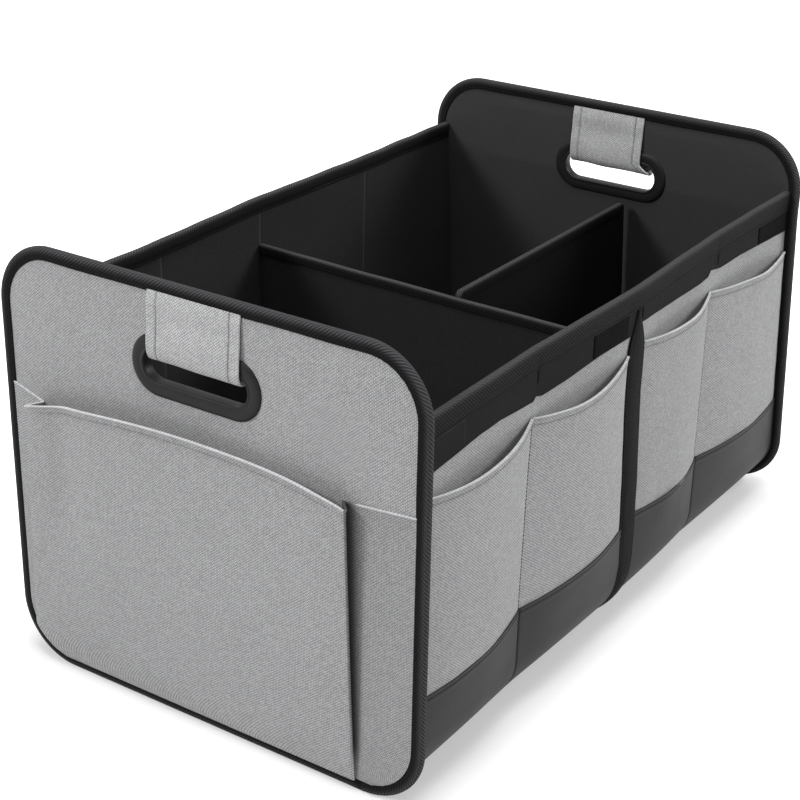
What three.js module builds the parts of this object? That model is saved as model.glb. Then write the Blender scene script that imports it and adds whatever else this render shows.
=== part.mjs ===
// Collapsible car trunk organizer, opened out. Millimetres, +Z up, standing on Z = 0.
// +X runs along the length. The end with the pleated pocket that faces the viewer looks to -X,
// the long wall that faces the viewer looks to -Y. The origin is the middle of the footprint.
import * as THREE from "three";

// Whole body
const LENGTH = 566; // over the two end panels, without their pockets
const WIDTH = 360; // of an end panel
const HEIGHT = 333; // of an end panel
const END_RADIUS = 48; // of an end panel's four corners

// Layers, the same in the ends and in the walls
const CLOTH = 0.7;
const TAPE = 0.7;
const BOARD = 2.4;
const GAP = 0.2; // between one layer and the next
const END_THICK = 2 * TAPE + 2 * CLOTH + BOARD + 4 * GAP;

// Depths into an end panel from its outer face
const END_CLOTH_AT = TAPE + GAP;
const END_BOARD_AT = END_CLOTH_AT + CLOTH + GAP;
const END_LINING_AT = END_BOARD_AT + BOARD + GAP;
const END_BINDING_BAND = 9.5; // width of the tape on each face of an end

// Handle slot, its snap ring and the strap through it
const SLOT_WIDTH = 88;
const SLOT_HEIGHT = 24;
const SLOT_Z = HEIGHT - 61;
const SLOT_Y = 3.5; // the slot sits a little to the left, seen from outside
const RING_FLANGE = 10.5;
const RING_BARREL = 1.6;
const RING_PROUD = 2.4;
const RING_FIT = 0.4; // round the barrel in the cut-out of the panel
const STRAP_WIDTH = 78;
const STRAP_THICK = 1.8;
const STRAP_DROP = 7; // how far the strap hangs under the top of the slot

// Pleated pocket on an end, measured to the right as seen from outside
const END_POCKET_MOUTH = HEIGHT - 114;
const END_POCKET_ARCH = 15;
const END_POCKET_BOTTOM = 10.2;
// inner and outer are the folds at the mouth, foot is where the fold meets the bottom seam
const PLEAT_LEFT = { inner: 37 - WIDTH / 2, outer: 35.5 - WIDTH / 2, foot: 15 - WIDTH / 2, depth: 18 };
const PLEAT_RIGHT = { inner: WIDTH / 2 - 66, outer: WIDTH / 2 - 55, foot: WIDTH / 2 - 52.5, depth: 12 };
const END_POCKET_SWELL = 3;

// Long walls
const BODY_INSET = 9; // the soft body is sewn on this far inside the edge of an end
const WALL_Y = WIDTH / 2 - BODY_INSET; // outer face of the wall cloth
const WALL_TOP = HEIGHT - 46;
const CORNER_RADIUS = END_RADIUS - BODY_INSET; // where wall turns into bottom
const BOTTOM_Z = BODY_INSET; // under side of the bottom cloth
const CENTRE_X = 3; // middle crease and cross divider
const WALL_END = LENGTH / 2 - END_THICK - 0.3;
const CREASES = [-WALL_END, (CENTRE_X - WALL_END) / 2, CENTRE_X, (CENTRE_X + WALL_END) / 2, WALL_END];
const CREASE_OUT = [0, -2, 2, -2, 0]; // how far each crease stands in or out
const WALL_TAPE_OUTSIDE = 16.5;
const WALL_TAPE_INSIDE = 12.5;
const CENTRE_TAPE = 24;

// Side pockets and the skirt under them
// Each quarter from its front seam to its rear one: drop of the band's lower edge and of the
// pocket mouth under the wall top, and height of the skirt.
const QUARTERS = [
  { band: [40, 37.5], arch: 3, mouth: [53.5, 50], dip: 5, skirt: [86.5, 91] },
  { band: [37.5, 35.5], arch: 0, mouth: [50, 49.5], dip: 5.5, skirt: [91, 90.5] },
  { band: [29.5, 30], arch: 0, mouth: [46, 45.5], dip: 2, skirt: [96, 96] },
  { band: [30, 34.5], arch: 1, mouth: [46, 54], dip: 1, skirt: [96, 91] },
];
const POCKET_THICK = 0.9;
const BULGE_MOUTH = 10;
const BULGE_SKIRT = 8;
const SEAM = 0.3; // between cloth pieces sewn edge to edge

// Dividers and base boards
const DIVIDER_THICK = 3.6;
const DIVIDER_TOP = WALL_TOP - 39;
const DIVIDER_TAPE = 8;
const DIVIDER_FIT = 0.6;
const REAR_DIVIDER_Y = -19.5;
const BASE_BOARD = 3;

const CORNER_Z = BOTTOM_Z + CORNER_RADIUS;
const CORNER_Y = WALL_Y - CORNER_RADIUS;
const WALL_BOARD_BOTTOM = CORNER_Z + 1;
const BASE_HALF = CORNER_Y - 3; // half width of a base board
const LINING_OUT = -(CLOTH + GAP + BOARD + GAP); // outer face of the wall lining, from WALL_Y
const FLOOR_Z = BOTTOM_Z + CLOTH + GAP + CLOTH; // upper face of the lining on the bottom

const greyOxford = new THREE.MeshStandardMaterial({ color: 0xa6a7a9, roughness: 0.85, metalness: 0 });
const greySkirt = new THREE.MeshStandardMaterial({ color: 0x4a4a4c, roughness: 0.7, metalness: 0 });
const blackCloth = new THREE.MeshStandardMaterial({ color: 0x222224, roughness: 0.9, metalness: 0 });
const blackTape = new THREE.MeshStandardMaterial({ color: 0x2b2b2d, roughness: 0.8, metalness: 0 });
const boardCore = new THREE.MeshStandardMaterial({ color: 0x3a3835, roughness: 0.9, metalness: 0 });
const blackPlastic = new THREE.MeshStandardMaterial({ color: 0x2e2e30, roughness: 0.45, metalness: 0 });

// Solid builders

function signedVolume(points, faces) {
  const cross = new THREE.Vector3();
  return faces.reduce((sum, [a, b, c]) => {
    cross.crossVectors(points[b], points[c]);
    return sum + points[a].dot(cross) / 6;
  }, 0);
}

// A closed solid from points and triangles, turned to face outwards.
function solid(points, faces) {
  const outward = signedVolume(points, faces) > 0;
  const index = faces.flatMap(([a, b, c]) => (outward ? [a, b, c] : [a, c, b]));
  const geometry = new THREE.BufferGeometry();
  geometry.setAttribute(
    "position",
    new THREE.Float32BufferAttribute(points.flatMap((p) => [p.x, p.y, p.z]), 3),
  );
  geometry.setIndex(index);
  geometry.computeVertexNormals();
  return geometry;
}

// A sheet with thickness over a grid: at(u, v, face) gives a point, face 0 behind and 1 in front.
function sheet(us, vs, at) {
  const points = [];
  [0, 1].forEach((face) => us.forEach((u) => vs.forEach((v) => points.push(at(u, v, face)))));
  const rows = vs.length;
  const id = (face, i, j) => face * us.length * rows + i * rows + j;
  const faces = [];
  const quad = (a, b, c, d) => faces.push([a, b, c], [a, c, d]);
  for (let i = 0; i + 1 < us.length; i++) {
    for (let j = 0; j + 1 < rows; j++) {
      quad(id(1, i, j), id(1, i + 1, j), id(1, i + 1, j + 1), id(1, i, j + 1));
      quad(id(0, i, j), id(0, i, j + 1), id(0, i + 1, j + 1), id(0, i + 1, j));
    }
    quad(id(0, i, 0), id(0, i + 1, 0), id(1, i + 1, 0), id(1, i, 0));
    quad(id(1, i, rows - 1), id(1, i + 1, rows - 1), id(0, i + 1, rows - 1), id(0, i, rows - 1));
  }
  const last = us.length - 1;
  for (let j = 0; j + 1 < rows; j++) {
    quad(id(1, 0, j), id(1, 0, j + 1), id(0, 0, j + 1), id(0, 0, j));
    quad(id(0, last, j), id(0, last, j + 1), id(1, last, j + 1), id(1, last, j));
  }
  return solid(points, faces);
}

// A section carried along stations: place(station, sectionPoint) gives the point in space.
function sweep(stations, section, place, closed) {
  const points = stations.flatMap((s) => section.map((p) => place(s, p)));
  const n = section.length;
  const faces = [];
  const spans = closed ? stations.length : stations.length - 1;
  for (let i = 0; i < spans; i++) {
    const next = (i + 1) % stations.length;
    for (let j = 0; j < n; j++) {
      const k = (j + 1) % n;
      faces.push([i * n + j, next * n + j, next * n + k], [i * n + j, next * n + k, i * n + k]);
    }
  }
  if (!closed) {
    const outline = section.map(([a, b]) => new THREE.Vector2(a, b));
    const area = THREE.ShapeUtils.area(outline);
    const end = (stations.length - 1) * n;
    THREE.ShapeUtils.triangulateShape(outline, []).forEach(([a, b, c]) => {
      const same = THREE.ShapeUtils.area([outline[a], outline[b], outline[c]]) * area > 0;
      const [p, q] = same ? [b, c] : [c, b];
      faces.push([a, p, q], [end + a, end + q, end + p]);
    });
  }
  return solid(points, faces);
}

function range(from, to, steps) {
  return Array.from({ length: steps + 1 }, (_, i) => from + ((to - from) * i) / steps);
}

// Stations round a rectangle with rounded corners in the YZ plane, each with its outward normal.
function roundedLoop(half, low, high, radius, steps) {
  const centres = [
    [half - radius, low + radius, -90],
    [half - radius, high - radius, 0],
    [-(half - radius), high - radius, 90],
    [-(half - radius), low + radius, 180],
  ];
  return centres.flatMap(([y, z, start]) =>
    range(start, start + 90, steps).map((degrees) => {
      const a = THREE.MathUtils.degToRad(degrees);
      return { y: y + radius * Math.cos(a), z: z + radius * Math.sin(a), ny: Math.cos(a), nz: Math.sin(a) };
    }),
  );
}

function dropRepeats(loop) {
  return loop.filter((s, i) => {
    const before = loop[(i + loop.length - 1) % loop.length];
    return Math.hypot(s.y - before.y, s.z - before.z) > 1e-6;
  });
}

// A flat plate in the YZ plane between two depths, with the handle slot cut out when asked for.
function endPlate(inset, depth, thick, slotFit) {
  const loop = dropRepeats(
    roundedLoop(WIDTH / 2 - inset, inset, HEIGHT - inset, END_RADIUS - inset, 10),
  );
  const shape = new THREE.Shape(loop.map((s) => new THREE.Vector2(s.y, s.z)));
  const grow = RING_BARREL + slotFit;
  const hole = slotLoop(grow).map((s) => new THREE.Vector2(s.y, s.z));
  shape.holes.push(new THREE.Path(hole));
  const plate = new THREE.ExtrudeGeometry(shape, { depth: thick, bevelEnabled: false });
  // The plate is drawn in XY and pulled along Z: turn it so that Y, Z and depth become Y, Z and X.
  plate.applyMatrix4(new THREE.Matrix4().set(0, 0, 1, depth, 1, 0, 0, 0, 0, 1, 0, 0, 0, 0, 0, 1));
  return plate;
}

function slotLoop(grow) {
  const half = SLOT_HEIGHT / 2 + grow;
  return dropRepeats(
    roundedLoop(SLOT_WIDTH / 2 + grow, SLOT_Z - half, SLOT_Z + half, half - 0.01, 8),
  ).map((s) => ({ ...s, y: s.y + SLOT_Y }));
}

const root = new THREE.Group();
root.name = "car_trunk_organizer";

function add(parent, name, geometry, material) {
  const mesh = new THREE.Mesh(geometry, material);
  mesh.name = name;
  parent.add(mesh);
  return mesh;
}

// End panels. X is the depth from the outer face, and the whole end is moved out afterwards.

// Tape folded over the edge of an end panel.
function endBinding() {
  const band = END_BINDING_BAND;
  const section = [
    [0, 0],
    [-band, 0],
    [-band, TAPE],
    [-TAPE, TAPE],
    [-TAPE, END_THICK - TAPE],
    [-band, END_THICK - TAPE],
    [-band, END_THICK],
    [0, END_THICK],
  ];
  const loop = dropRepeats(roundedLoop(WIDTH / 2, 0, HEIGHT, END_RADIUS, 10));
  const place = (s, [out, depth]) => new THREE.Vector3(depth, s.y + s.ny * out, s.z + s.nz * out);
  return sweep(loop, section, place, true);
}

// One snap half of the ring: a flange with a softened rim and a barrel to the middle of the panel.
function ringHalf(inside) {
  const reach = END_THICK / 2 - 0.15;
  const seat = END_CLOTH_AT - GAP;
  const section = [
    [0, reach],
    [0, seat - RING_PROUD + 0.6],
    [0.6, seat - RING_PROUD],
    [RING_FLANGE - 1.2, seat - RING_PROUD],
    [RING_FLANGE, seat - RING_PROUD + 1.2],
    [RING_FLANGE, seat],
    [RING_BARREL, seat],
    [RING_BARREL, reach],
  ];
  const place = (s, [out, depth]) =>
    new THREE.Vector3(inside ? END_THICK - depth : depth, s.y + s.ny * out, s.z + s.nz * out);
  return sweep(slotLoop(0), section, place, true);
}

// The strap leaves the top binding, rides over the ring, turns under the top of the slot and
// climbs back up inside. The path gives the middle of the strap as depth and height.
function strapPath() {
  const rest = END_CLOTH_AT - GAP - STRAP_THICK / 2;
  const over = END_CLOTH_AT - GAP - RING_PROUD - 0.25 - STRAP_THICK / 2;
  const slotTop = SLOT_Z + SLOT_HEIGHT / 2;
  const ringTop = slotTop + RING_FLANGE;
  const start = HEIGHT - END_BINDING_BAND - 0.4;
  const path = [
    [rest, start],
    [rest, ringTop + 14],
    [rest * 0.7 + over * 0.3, ringTop + 8],
    [rest * 0.25 + over * 0.75, ringTop + 3],
    [over, ringTop - 1],
    [over, slotTop + 1],
  ];
  const middle = END_THICK / 2;
  const turn = range(0, 90, 7).map((degrees) => {
    const a = THREE.MathUtils.degToRad(degrees);
    return [middle - (middle - over) * Math.cos(a), slotTop - (STRAP_DROP - STRAP_THICK / 2) * Math.sin(a)];
  });
  const outside = [...path, ...turn];
  const inside = outside.slice(0, -1).reverse().map(([depth, z]) => [END_THICK - depth, z]);
  return [...outside, ...inside];
}

function strap() {
  const path = strapPath();
  const normals = path.map((_, i) => {
    const a = path[Math.max(i - 1, 0)];
    const b = path[Math.min(i + 1, path.length - 1)];
    const length = Math.hypot(b[0] - a[0], b[1] - a[1]);
    return [(b[1] - a[1]) / length, -(b[0] - a[0]) / length];
  });
  const half = STRAP_WIDTH / 2;
  return sheet(range(0, path.length - 1, path.length - 1), [SLOT_Y - half, SLOT_Y + half], (i, y, face) => {
    const shift = (face - 0.5) * STRAP_THICK;
    return new THREE.Vector3(path[i][0] + normals[i][0] * shift, y, path[i][1] + normals[i][1] * shift);
  });
}

// Half width free for the end pocket at a height: its lower corners follow the rounded binding.
function endPocketHalf(z) {
  const inset = END_BINDING_BAND + SEAM;
  const corner = END_RADIUS - inset;
  const drop = Math.max(END_RADIUS - z, 0);
  return WIDTH / 2 - END_RADIUS + Math.sqrt(Math.max(corner ** 2 - drop ** 2, 0));
}

// Moves a line of points sideways by a distance, mitred where it folds.
function shiftLine(line, by) {
  const last = line.length - 1;
  const direction = (a, b) => {
    const length = Math.hypot(b[0] - a[0], b[1] - a[1]);
    return [(b[0] - a[0]) / length, (b[1] - a[1]) / length];
  };
  return line.map(([x, y], i) => {
    const into = direction(line[Math.max(i - 1, 0)], line[Math.max(i, 1)]);
    const away = direction(line[Math.min(i, last - 1)], line[Math.min(i + 1, last)]);
    const across = [-(into[1] + away[1]), into[0] + away[0]];
    const mitre = Math.min(2 / (across[0] ** 2 + across[1] ** 2), 1.2);
    return [x + across[0] * by * mitre, y + across[1] * by * mitre];
  });
}

// Pleated pocket: flat strips at both sides, a gusset folded forward at each, a swelling front.
function endPocket() {
  const ground = END_CLOTH_AT - GAP; // back of the pocket cloth lies on the panel cloth
  const shut = 3.5; // stand-off where the front is sewn down at the bottom
  const front = range(0, 1, 14);
  const last = front.length + 3;
  // The mouth drops from the binding to the pleat and arches over the front.
  const mouthAt = (i) => {
    if (i === 0 || i === last) return END_POCKET_MOUTH + 6;
    if (i === 1 || i === last - 1) return END_POCKET_MOUTH - 2;
    const arch = Math.max(Math.sin(Math.PI * front[i - 2]), 0) ** 0.7;
    return END_POCKET_MOUTH + END_POCKET_ARCH * arch;
  };
  const heightAt = (i, r) => END_POCKET_BOTTOM + (mouthAt(i) - END_POCKET_BOTTOM) * r;
  const plan = (r) => {
    const open = r ** 0.8;
    const half = endPocketHalf(heightAt(1, r));
    const fold = (y, room) => Math.sign(y) * Math.min(Math.abs(y), half - room);
    const between = (foot, mouth) => foot + (mouth - foot) * open;
    const foldLeft = between(PLEAT_LEFT.foot + 1.5, PLEAT_LEFT.inner);
    const foldRight = between(PLEAT_RIGHT.foot - 3, PLEAT_RIGHT.inner);
    const from = fold(between(PLEAT_LEFT.foot, PLEAT_LEFT.outer), 7);
    const to = fold(between(PLEAT_RIGHT.foot, PLEAT_RIGHT.outer), 7);
    return [
      [ground, -half],
      [ground, fold(foldLeft, 5)],
      ...front.map((t) => {
        const depth = PLEAT_LEFT.depth + (PLEAT_RIGHT.depth - PLEAT_LEFT.depth) * t;
        const crown = END_POCKET_SWELL * Math.sin(Math.PI * t) * Math.sin(Math.PI * open);
        return [ground - shut - (depth - shut) * open - crown, from + (to - from) * t];
      }),
      [ground, fold(foldRight, 5)],
      [ground, half],
    ];
  };
  const rows = range(0, 1, 10);
  const inner = rows.map(plan);
  const outer = inner.map((line) => shiftLine(line, POCKET_THICK));
  return sheet(range(0, last, last), range(0, 10, 10), (i, j, face) => {
    const [x, y] = (face ? outer : inner)[j][i];
    return new THREE.Vector3(x, -y, heightAt(i, rows[j]));
  });
}

function addEnd(name, turn) {
  const end = new THREE.Group();
  end.name = name + "_end";
  end.rotation.z = turn;
  root.add(end);
  const body = new THREE.Group();
  body.position.x = -LENGTH / 2;
  end.add(body);
  const under = TAPE + GAP;
  add(body, name + "_binding", endBinding(), blackTape);
  add(body, name + "_outer_cloth", endPlate(under, END_CLOTH_AT, CLOTH, RING_FIT), greyOxford);
  add(body, name + "_board", endPlate(under, END_BOARD_AT, BOARD, RING_FIT), boardCore);
  add(body, name + "_lining", endPlate(under, END_LINING_AT, CLOTH, RING_FIT), blackCloth);
  add(body, name + "_ring_outer", ringHalf(false), blackPlastic);
  add(body, name + "_ring_inner", ringHalf(true), blackPlastic);
  add(body, name + "_strap", strap(), greyOxford);
  add(body, name + "_pocket", endPocket(), greyOxford);
}

addEnd("front", 0);
addEnd("rear", Math.PI);

// Long walls. side is -1 for the wall at -Y and 1 for the wall at +Y.

function creaseOut(x) {
  const i = CREASES.findIndex((c, k) => k > 0 && x <= c + 1e-9);
  const k = i < 1 ? CREASES.length - 1 : i;
  const t = (x - CREASES[k - 1]) / (CREASES[k] - CREASES[k - 1]);
  return CREASE_OUT[k - 1] + (CREASE_OUT[k] - CREASE_OUT[k - 1]) * t;
}

// A point of a wall: out is measured from the outer face of the wall cloth.
function onWall(side, x, out, z) {
  return new THREE.Vector3(x, side * (WALL_Y + out + creaseOut(x)), z);
}

// A point of the rounded corner under a wall, 0 degrees at the wall and 90 at the bottom.
function onCorner(side, x, out, below, degrees) {
  const a = THREE.MathUtils.degToRad(degrees);
  const across = CORNER_Y + (CORNER_RADIUS + out + creaseOut(x)) * Math.cos(a);
  return new THREE.Vector3(x, side * across, CORNER_Z - (CORNER_RADIUS + below) * Math.sin(a));
}

// Columns along part of a wall, with one on every crease in it.
function columns(from, to, steps) {
  const inside = CREASES.filter((c) => c > from + 1 && c < to - 1);
  const stops = [from, ...inside, to];
  return stops.slice(1).flatMap((stop, i) => range(stops[i], stop, steps).slice(i ? 1 : 0));
}

function wallSheet(side, from, to, low, high, behind, front) {
  return sheet(columns(from, to, 1), [low, high], (x, z, face) => onWall(side, x, face ? front : behind, z));
}

function swell(t) {
  return Math.sin(Math.PI * THREE.MathUtils.clamp(t, 0, 1)) ** 0.85;
}

function between([from, to], t) {
  return from + (to - from) * t;
}

function sidePocket(side, from, to, quarter) {
  const back = GAP;
  return sheet(range(0, 1, 14), range(0, 1, 4), (t, v, face) => {
    const bottom = between(quarter.skirt, t) + SEAM / 2;
    const mouth = WALL_TOP - between(quarter.mouth, t) - quarter.dip * swell(t);
    const bulge = BULGE_SKIRT + (BULGE_MOUTH - BULGE_SKIRT) * v;
    const out = back + bulge * swell(t) + face * POCKET_THICK;
    return onWall(side, from + (to - from) * t, out, bottom + (mouth - bottom) * v);
  });
}

// Skirt over two quarters: it closes the pockets below and turns under with the corner.
function skirt(side, from, crease, to, quarters) {
  const xs = [...range(from, crease, 12), ...range(crease, to, 12).slice(1)];
  const rows = [
    { rise: 1, bulge: 1 },
    { rise: 0.5, bulge: 0.8 },
    { rise: 0, bulge: 0.5 },
    { turn: 15, bulge: 0.3 },
    { turn: 30, bulge: 0.16 },
    { turn: 45, bulge: 0.06 },
    { turn: 60, bulge: 0 },
    { turn: 75, bulge: 0 },
  ];
  return sheet(xs, rows, (x, row, face) => {
    const [quarter, t] = place(x, from, crease, to, quarters);
    const out = GAP + BULGE_SKIRT * row.bulge * swell(t) + face * POCKET_THICK;
    const top = between(quarter.skirt, t) - SEAM / 2;
    if (row.turn) return onCorner(side, x, out, out, row.turn);
    return onWall(side, x, out, CORNER_Z + (top - CORNER_Z) * row.rise);
  });
}

// The quarter a place along half a wall lies in, and how far across it that place is.
function place(x, from, crease, to, quarters) {
  if (x <= crease) return [quarters[0], (x - from) / (crease - from)];
  return [quarters[1], (x - crease) / (to - crease)];
}

// Band at the top of a wall, its lower edge arched over each quarter.
function topBand(side, from, crease, to, quarters) {
  const xs = [...range(from, crease, 8), ...range(crease, to, 8).slice(1)];
  return sheet(xs, [0, 1], (x, v, face) => {
    const [quarter, t] = place(x, from, crease, to, quarters);
    const low = WALL_TOP - between(quarter.band, t) + quarter.arch * Math.sin(Math.PI * t);
    return onWall(side, x, GAP + face * CLOTH, v ? WALL_TOP - TAPE - GAP : low);
  });
}

function wallTopBinding(side) {
  const outer = 2 * GAP + CLOTH + TAPE;
  const inner = LINING_OUT - CLOTH - GAP - TAPE;
  const section = [
    [inner, WALL_TOP - WALL_TAPE_INSIDE],
    [inner + TAPE, WALL_TOP - WALL_TAPE_INSIDE],
    [inner + TAPE, WALL_TOP - TAPE],
    [outer - TAPE, WALL_TOP - TAPE],
    [outer - TAPE, WALL_TOP - WALL_TAPE_OUTSIDE],
    [outer, WALL_TOP - WALL_TAPE_OUTSIDE],
    [outer, WALL_TOP],
    [inner, WALL_TOP],
  ];
  return sweep(columns(-WALL_END, WALL_END, 1), section, (x, [out, z]) => onWall(side, x, out, z), false);
}

// Tape over the middle crease, from the top binding down and round the corner.
function centreTape(side) {
  const half = CENTRE_TAPE / 2;
  const rows = [
    { z: WALL_TOP - WALL_TAPE_OUTSIDE - SEAM },
    { z: CORNER_Z },
    ...[15, 30, 45, 60, 75].map((turn) => ({ turn })),
  ];
  return sheet([CENTRE_X - half, CENTRE_X, CENTRE_X + half], rows, (x, row, face) => {
    const out = GAP + face * 2.4;
    return row.turn ? onCorner(side, x, out, out, row.turn) : onWall(side, x, out, row.z);
  });
}

function addWall(name, side) {
  const [start, first, middle, third, finish] = CREASES;
  const tape = CENTRE_TAPE / 2 + SEAM;
  const boardOut = -(CLOTH + GAP);
  const bounds = [start, first, middle, third, finish];
  for (let i = 0; i < 4; i++) {
    const from = bounds[i] + (i ? 3 : SEAM);
    const to = bounds[i + 1] - (i < 3 ? 3 : SEAM);
    const high = WALL_TOP - TAPE - GAP;
    const board = wallSheet(side, from, to, WALL_BOARD_BOTTOM, high, boardOut - BOARD, boardOut);
    add(root, name + "_board_" + (i + 1), board, boardCore);
  }
  const cloth = wallSheet(side, start, finish, CORNER_Z + SEAM, WALL_TOP - TAPE - GAP, -CLOTH, 0);
  add(root, name + "_wall_cloth", cloth, greyOxford);
  add(root, name + "_band_front", topBand(side, start, first, middle - tape, QUARTERS.slice(0, 2)), blackCloth);
  add(root, name + "_band_rear", topBand(side, middle + tape, third, finish, QUARTERS.slice(2)), blackCloth);
  add(root, name + "_pocket_1", sidePocket(side, start + SEAM, first - SEAM, QUARTERS[0]), greyOxford);
  add(root, name + "_pocket_2", sidePocket(side, first + SEAM, middle - tape, QUARTERS[1]), greyOxford);
  add(root, name + "_pocket_3", sidePocket(side, middle + tape, third - SEAM, QUARTERS[2]), greyOxford);
  add(root, name + "_pocket_4", sidePocket(side, third + SEAM, finish - SEAM, QUARTERS[3]), greyOxford);
  add(root, name + "_skirt_front", skirt(side, start, first, middle - tape, QUARTERS.slice(0, 2)), greySkirt);
  add(root, name + "_skirt_rear", skirt(side, middle + tape, third, finish, QUARTERS.slice(2)), greySkirt);
  add(root, name + "_top_binding", wallTopBinding(side), blackTape);
  add(root, name + "_centre_tape", centreTape(side), blackTape);
}

addWall("right", -1);
addWall("left", 1);

// Bottom cloth and lining, each one strip that runs round both lower corners.

function trough(wallOut, bottomLift, top) {
  const turns = range(0, 90, 6);
  const path = [
    { side: -1, z: top },
    ...turns.map((turn) => ({ side: -1, turn })),
    ...[...turns].reverse().map((turn) => ({ side: 1, turn })),
    { side: 1, z: top },
  ];
  return sheet(columns(-WALL_END, WALL_END, 1), path, (x, p, face) => {
    const out = wallOut + (face - 1) * CLOTH;
    const below = -bottomLift + (face - 1) * CLOTH;
    return p.z ? onWall(p.side, x, out, p.z) : onCorner(p.side, x, out, below, p.turn);
  });
}

add(root, "bottom_cloth", trough(0, 0, CORNER_Z + 0.01), greySkirt);
add(root, "body_lining", trough(LINING_OUT, CLOTH + GAP, WALL_TOP - TAPE - GAP), blackCloth);

// Dividers

// Half the clear width between the linings at the cross divider.
const CLEAR_HALF = WALL_Y + creaseOut(CENTRE_X) + LINING_OUT - CLOTH;

function crossPanel(x, thick, top) {
  const half = CLEAR_HALF - DIVIDER_FIT;
  const cornerHalf = half - CORNER_Y;
  const cornerDrop = CORNER_Z - FLOOR_Z - DIVIDER_FIT;
  const arc = (side) =>
    range(0, 90, 6).map((degrees) => {
      const a = THREE.MathUtils.degToRad(side > 0 ? 90 - degrees : degrees);
      const y = side * (CORNER_Y + cornerHalf * Math.cos(a));
      return new THREE.Vector2(y, CORNER_Z - cornerDrop * Math.sin(a));
    });
  const outline = [new THREE.Vector2(-half, top), ...arc(-1), ...arc(1), new THREE.Vector2(half, top)];
  const panel = new THREE.ExtrudeGeometry(new THREE.Shape(outline), { depth: thick, bevelEnabled: false });
  panel.applyMatrix4(
    new THREE.Matrix4().set(0, 0, 1, x - thick / 2, 1, 0, 0, 0, 0, 1, 0, 0, 0, 0, 0, 1),
  );
  return panel;
}

// Channel of tape over an edge: out is across the divider, along its edge outwards.
function channel() {
  const half = DIVIDER_THICK / 2 + GAP;
  return [
    [-half - TAPE, -DIVIDER_TAPE],
    [-half, -DIVIDER_TAPE],
    [-half, -TAPE],
    [half, -TAPE],
    [half, -DIVIDER_TAPE],
    [half + TAPE, -DIVIDER_TAPE],
    [half + TAPE, 0],
    [-half - TAPE, 0],
  ];
}

const edgeUnder = TAPE + GAP;
add(root, "cross_divider", crossPanel(CENTRE_X, DIVIDER_THICK, DIVIDER_TOP - edgeUnder), blackCloth);
const crossHalf = WALL_Y + creaseOut(CENTRE_X) + LINING_OUT - CLOTH - 2 * DIVIDER_FIT;
const crossBinding = sweep(
  [-crossHalf, crossHalf],
  channel(),
  (y, [across, along]) => new THREE.Vector3(CENTRE_X + across, y, DIVIDER_TOP + along),
  false,
);
add(root, "cross_divider_binding", crossBinding, blackTape);

// The rear divider stands between the cross divider and the rear end, bound on three edges.
const rearFrom = CENTRE_X + DIVIDER_THICK / 2 + GAP + TAPE + 0.4;
const rearTo = LENGTH / 2 - END_THICK - 0.4;
const rearFoot = FLOOR_Z + GAP + BASE_BOARD + 0.4;

function rearOutline(inset) {
  const radius = 10;
  const arc = (x, from) =>
    range(from, from + 90, 5).map((degrees) => {
      const a = THREE.MathUtils.degToRad(degrees);
      return { x: x + radius * Math.cos(a), z: DIVIDER_TOP - radius + radius * Math.sin(a), a };
    });
  const stations = [
    { x: rearTo, z: rearFoot, a: 0 },
    ...arc(rearTo - radius, 0),
    ...arc(rearFrom + radius, 90),
    { x: rearFrom, z: rearFoot, a: Math.PI },
  ];
  return stations.map((s) => ({ ...s, x: s.x - inset * Math.cos(s.a), z: s.z - inset * Math.sin(s.a) }));
}

const rearShape = new THREE.Shape(rearOutline(edgeUnder).map((s) => new THREE.Vector2(s.x, s.z)));
const rearPanel = new THREE.ExtrudeGeometry(rearShape, { depth: DIVIDER_THICK, bevelEnabled: false });
rearPanel.applyMatrix4(
  new THREE.Matrix4().set(1, 0, 0, 0, 0, 0, -1, REAR_DIVIDER_Y + DIVIDER_THICK / 2, 0, 1, 0, 0, 0, 0, 0, 1),
);
add(root, "rear_divider", rearPanel, blackCloth);
const rearBinding = sweep(
  rearOutline(0),
  channel(),
  (s, [across, along]) =>
    new THREE.Vector3(
      s.x + along * Math.cos(s.a),
      REAR_DIVIDER_Y + across,
      s.z + along * Math.sin(s.a),
    ),
  false,
);
add(root, "rear_divider_binding", rearBinding, blackTape);

// Base boards lie loose on the lining, one in each bay.
function baseBoard(from, to) {
  const board = new THREE.BoxGeometry(to - from, 2 * BASE_HALF, BASE_BOARD);
  board.translate((from + to) / 2, 0, FLOOR_Z + GAP + BASE_BOARD / 2);
  return board;
}

const bayEdge = DIVIDER_THICK / 2 + 1;
const bayEnd = LENGTH / 2 - END_THICK - 1;
add(root, "front_base_board", baseBoard(-bayEnd, CENTRE_X - bayEdge), boardCore);
add(root, "rear_base_board", baseBoard(CENTRE_X + bayEdge, bayEnd), boardCore);

export default root;
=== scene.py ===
import math

import bpy
import numpy as np
from mathutils import Euler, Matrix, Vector


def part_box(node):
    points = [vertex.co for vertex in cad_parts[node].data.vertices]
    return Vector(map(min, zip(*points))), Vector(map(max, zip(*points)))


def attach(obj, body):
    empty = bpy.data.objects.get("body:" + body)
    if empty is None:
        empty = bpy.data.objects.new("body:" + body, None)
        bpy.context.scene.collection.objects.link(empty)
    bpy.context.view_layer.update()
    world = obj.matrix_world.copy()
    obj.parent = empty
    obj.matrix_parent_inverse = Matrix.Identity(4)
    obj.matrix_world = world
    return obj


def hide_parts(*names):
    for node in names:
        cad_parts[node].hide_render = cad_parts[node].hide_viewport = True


bl_info = {
    "name": "Trunk organizer",
    "version": (1, 0, 0),
    "blender": (4, 5, 0),
    "location": "View3D > Sidebar > Organizer",
    "description": "Sewn, board-stiffened car trunk organizer on the packed frame",
    "category": "Object",
}

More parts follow.
